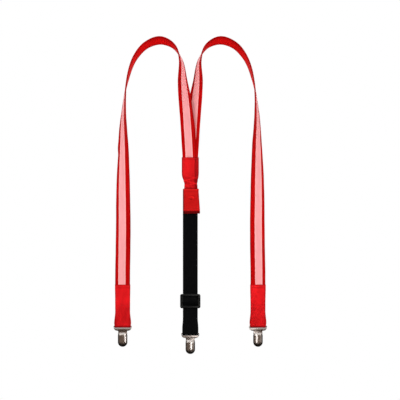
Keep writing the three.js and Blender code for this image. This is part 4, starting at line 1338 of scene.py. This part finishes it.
# Each light: name, place, the point it faces, size, power in watts.
LIGHTS = (
    ("key", (-0.9, -1.6, 1.2), LIT_POINT, (1.2, 1.2), 4.6),
    ("fill", (1.1, -1.5, 0.7), LIT_POINT, (1.0, 1.2), 3.2),
    ("top", (0, 0.1, 1.7), LIT_POINT, (1.4, 1.0), 5.5),
    ("low_left", (-0.9, -0.6, 0.25), (0, 0, 0.5), (0.5, 0.5), 7),
    ("low_right", (0.9, -0.6, 0.25), (0, 0, 0.5), (0.5, 0.5), 7),
    ("front_strip", (0.05, -0.35, 0.17), (0.05, 0, 0.17), (0.042, 0.36), 0.22),
)


def studio_floor():
    """A plain pale floor, which throws no red or grey back onto the part."""
    half, level = FLOOR_HALF, FLOOR_LEVEL
    corners = [(x, y, level) for x, y in ((-half, -half), (half, -half), (half, half), (-half, half))]
    mesh = bpy.data.meshes.new("floor")
    mesh.from_pydata(corners, [], [(0, 1, 2, 3)])
    g = Graph("floor")
    tone = g.noise(g.position(), 3.0, 2.0)
    pale = g.blend(tone, (0.86, 0.86, 0.85), (0.90, 0.90, 0.89))
    g.finish(Base_Color=g.blend(0.6, pale, (0, 0, 0)), Roughness=0.8, Emission_Color=pale,
             Emission_Strength=0.88, Specular_IOR_Level=0.0)
    mesh.materials.append(g.material)
    floor = bpy.data.objects.new("floor", mesh)
    bpy.context.scene.collection.objects.link(floor)
    floor.visible_glossy = False
    floor.visible_diffuse = False
    floor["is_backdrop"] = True


FRAME_SIDE = 400 * 1.67 * MM
VIEW_MIDDLE = (0.0162, 0.2572)


def studio_camera():
    """Square on to the front, with no perspective, as the photograph looks."""
    data = bpy.data.cameras.new("camera")
    data.type = "ORTHO"
    data.ortho_scale = FRAME_SIDE
    camera = bpy.data.objects.new("camera", data)
    camera.location = (VIEW_MIDDLE[0], -2.0, VIEW_MIDDLE[1])
    camera.rotation_euler = (math.pi / 2, 0, 0)
    bpy.context.scene.collection.objects.link(camera)
    bpy.context.scene.camera = camera
    bpy.context.scene.view_settings.view_transform = "Standard"


def build_studio():
    """The low lights give no glint on the metal, and the strip lights only the metal."""
    studio_world()
    studio_floor()
    for light in LIGHTS:
        area_light(*light)
    for name in ("low_left", "low_right"):
        bpy.data.objects[name].visible_glossy = False
    bpy.data.objects["front_strip"].visible_diffuse = False
    studio_camera()


build_straps()
build_end_sleeves()
build_junction()
build_pouch()
build_back_strap()
build_adjuster()
build_clips()
dress_kept_nodes()
build_studio()

low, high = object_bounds()
{"cad": [list(cad_low), list(cad_high)], "visual": [list(low), list(high)]}
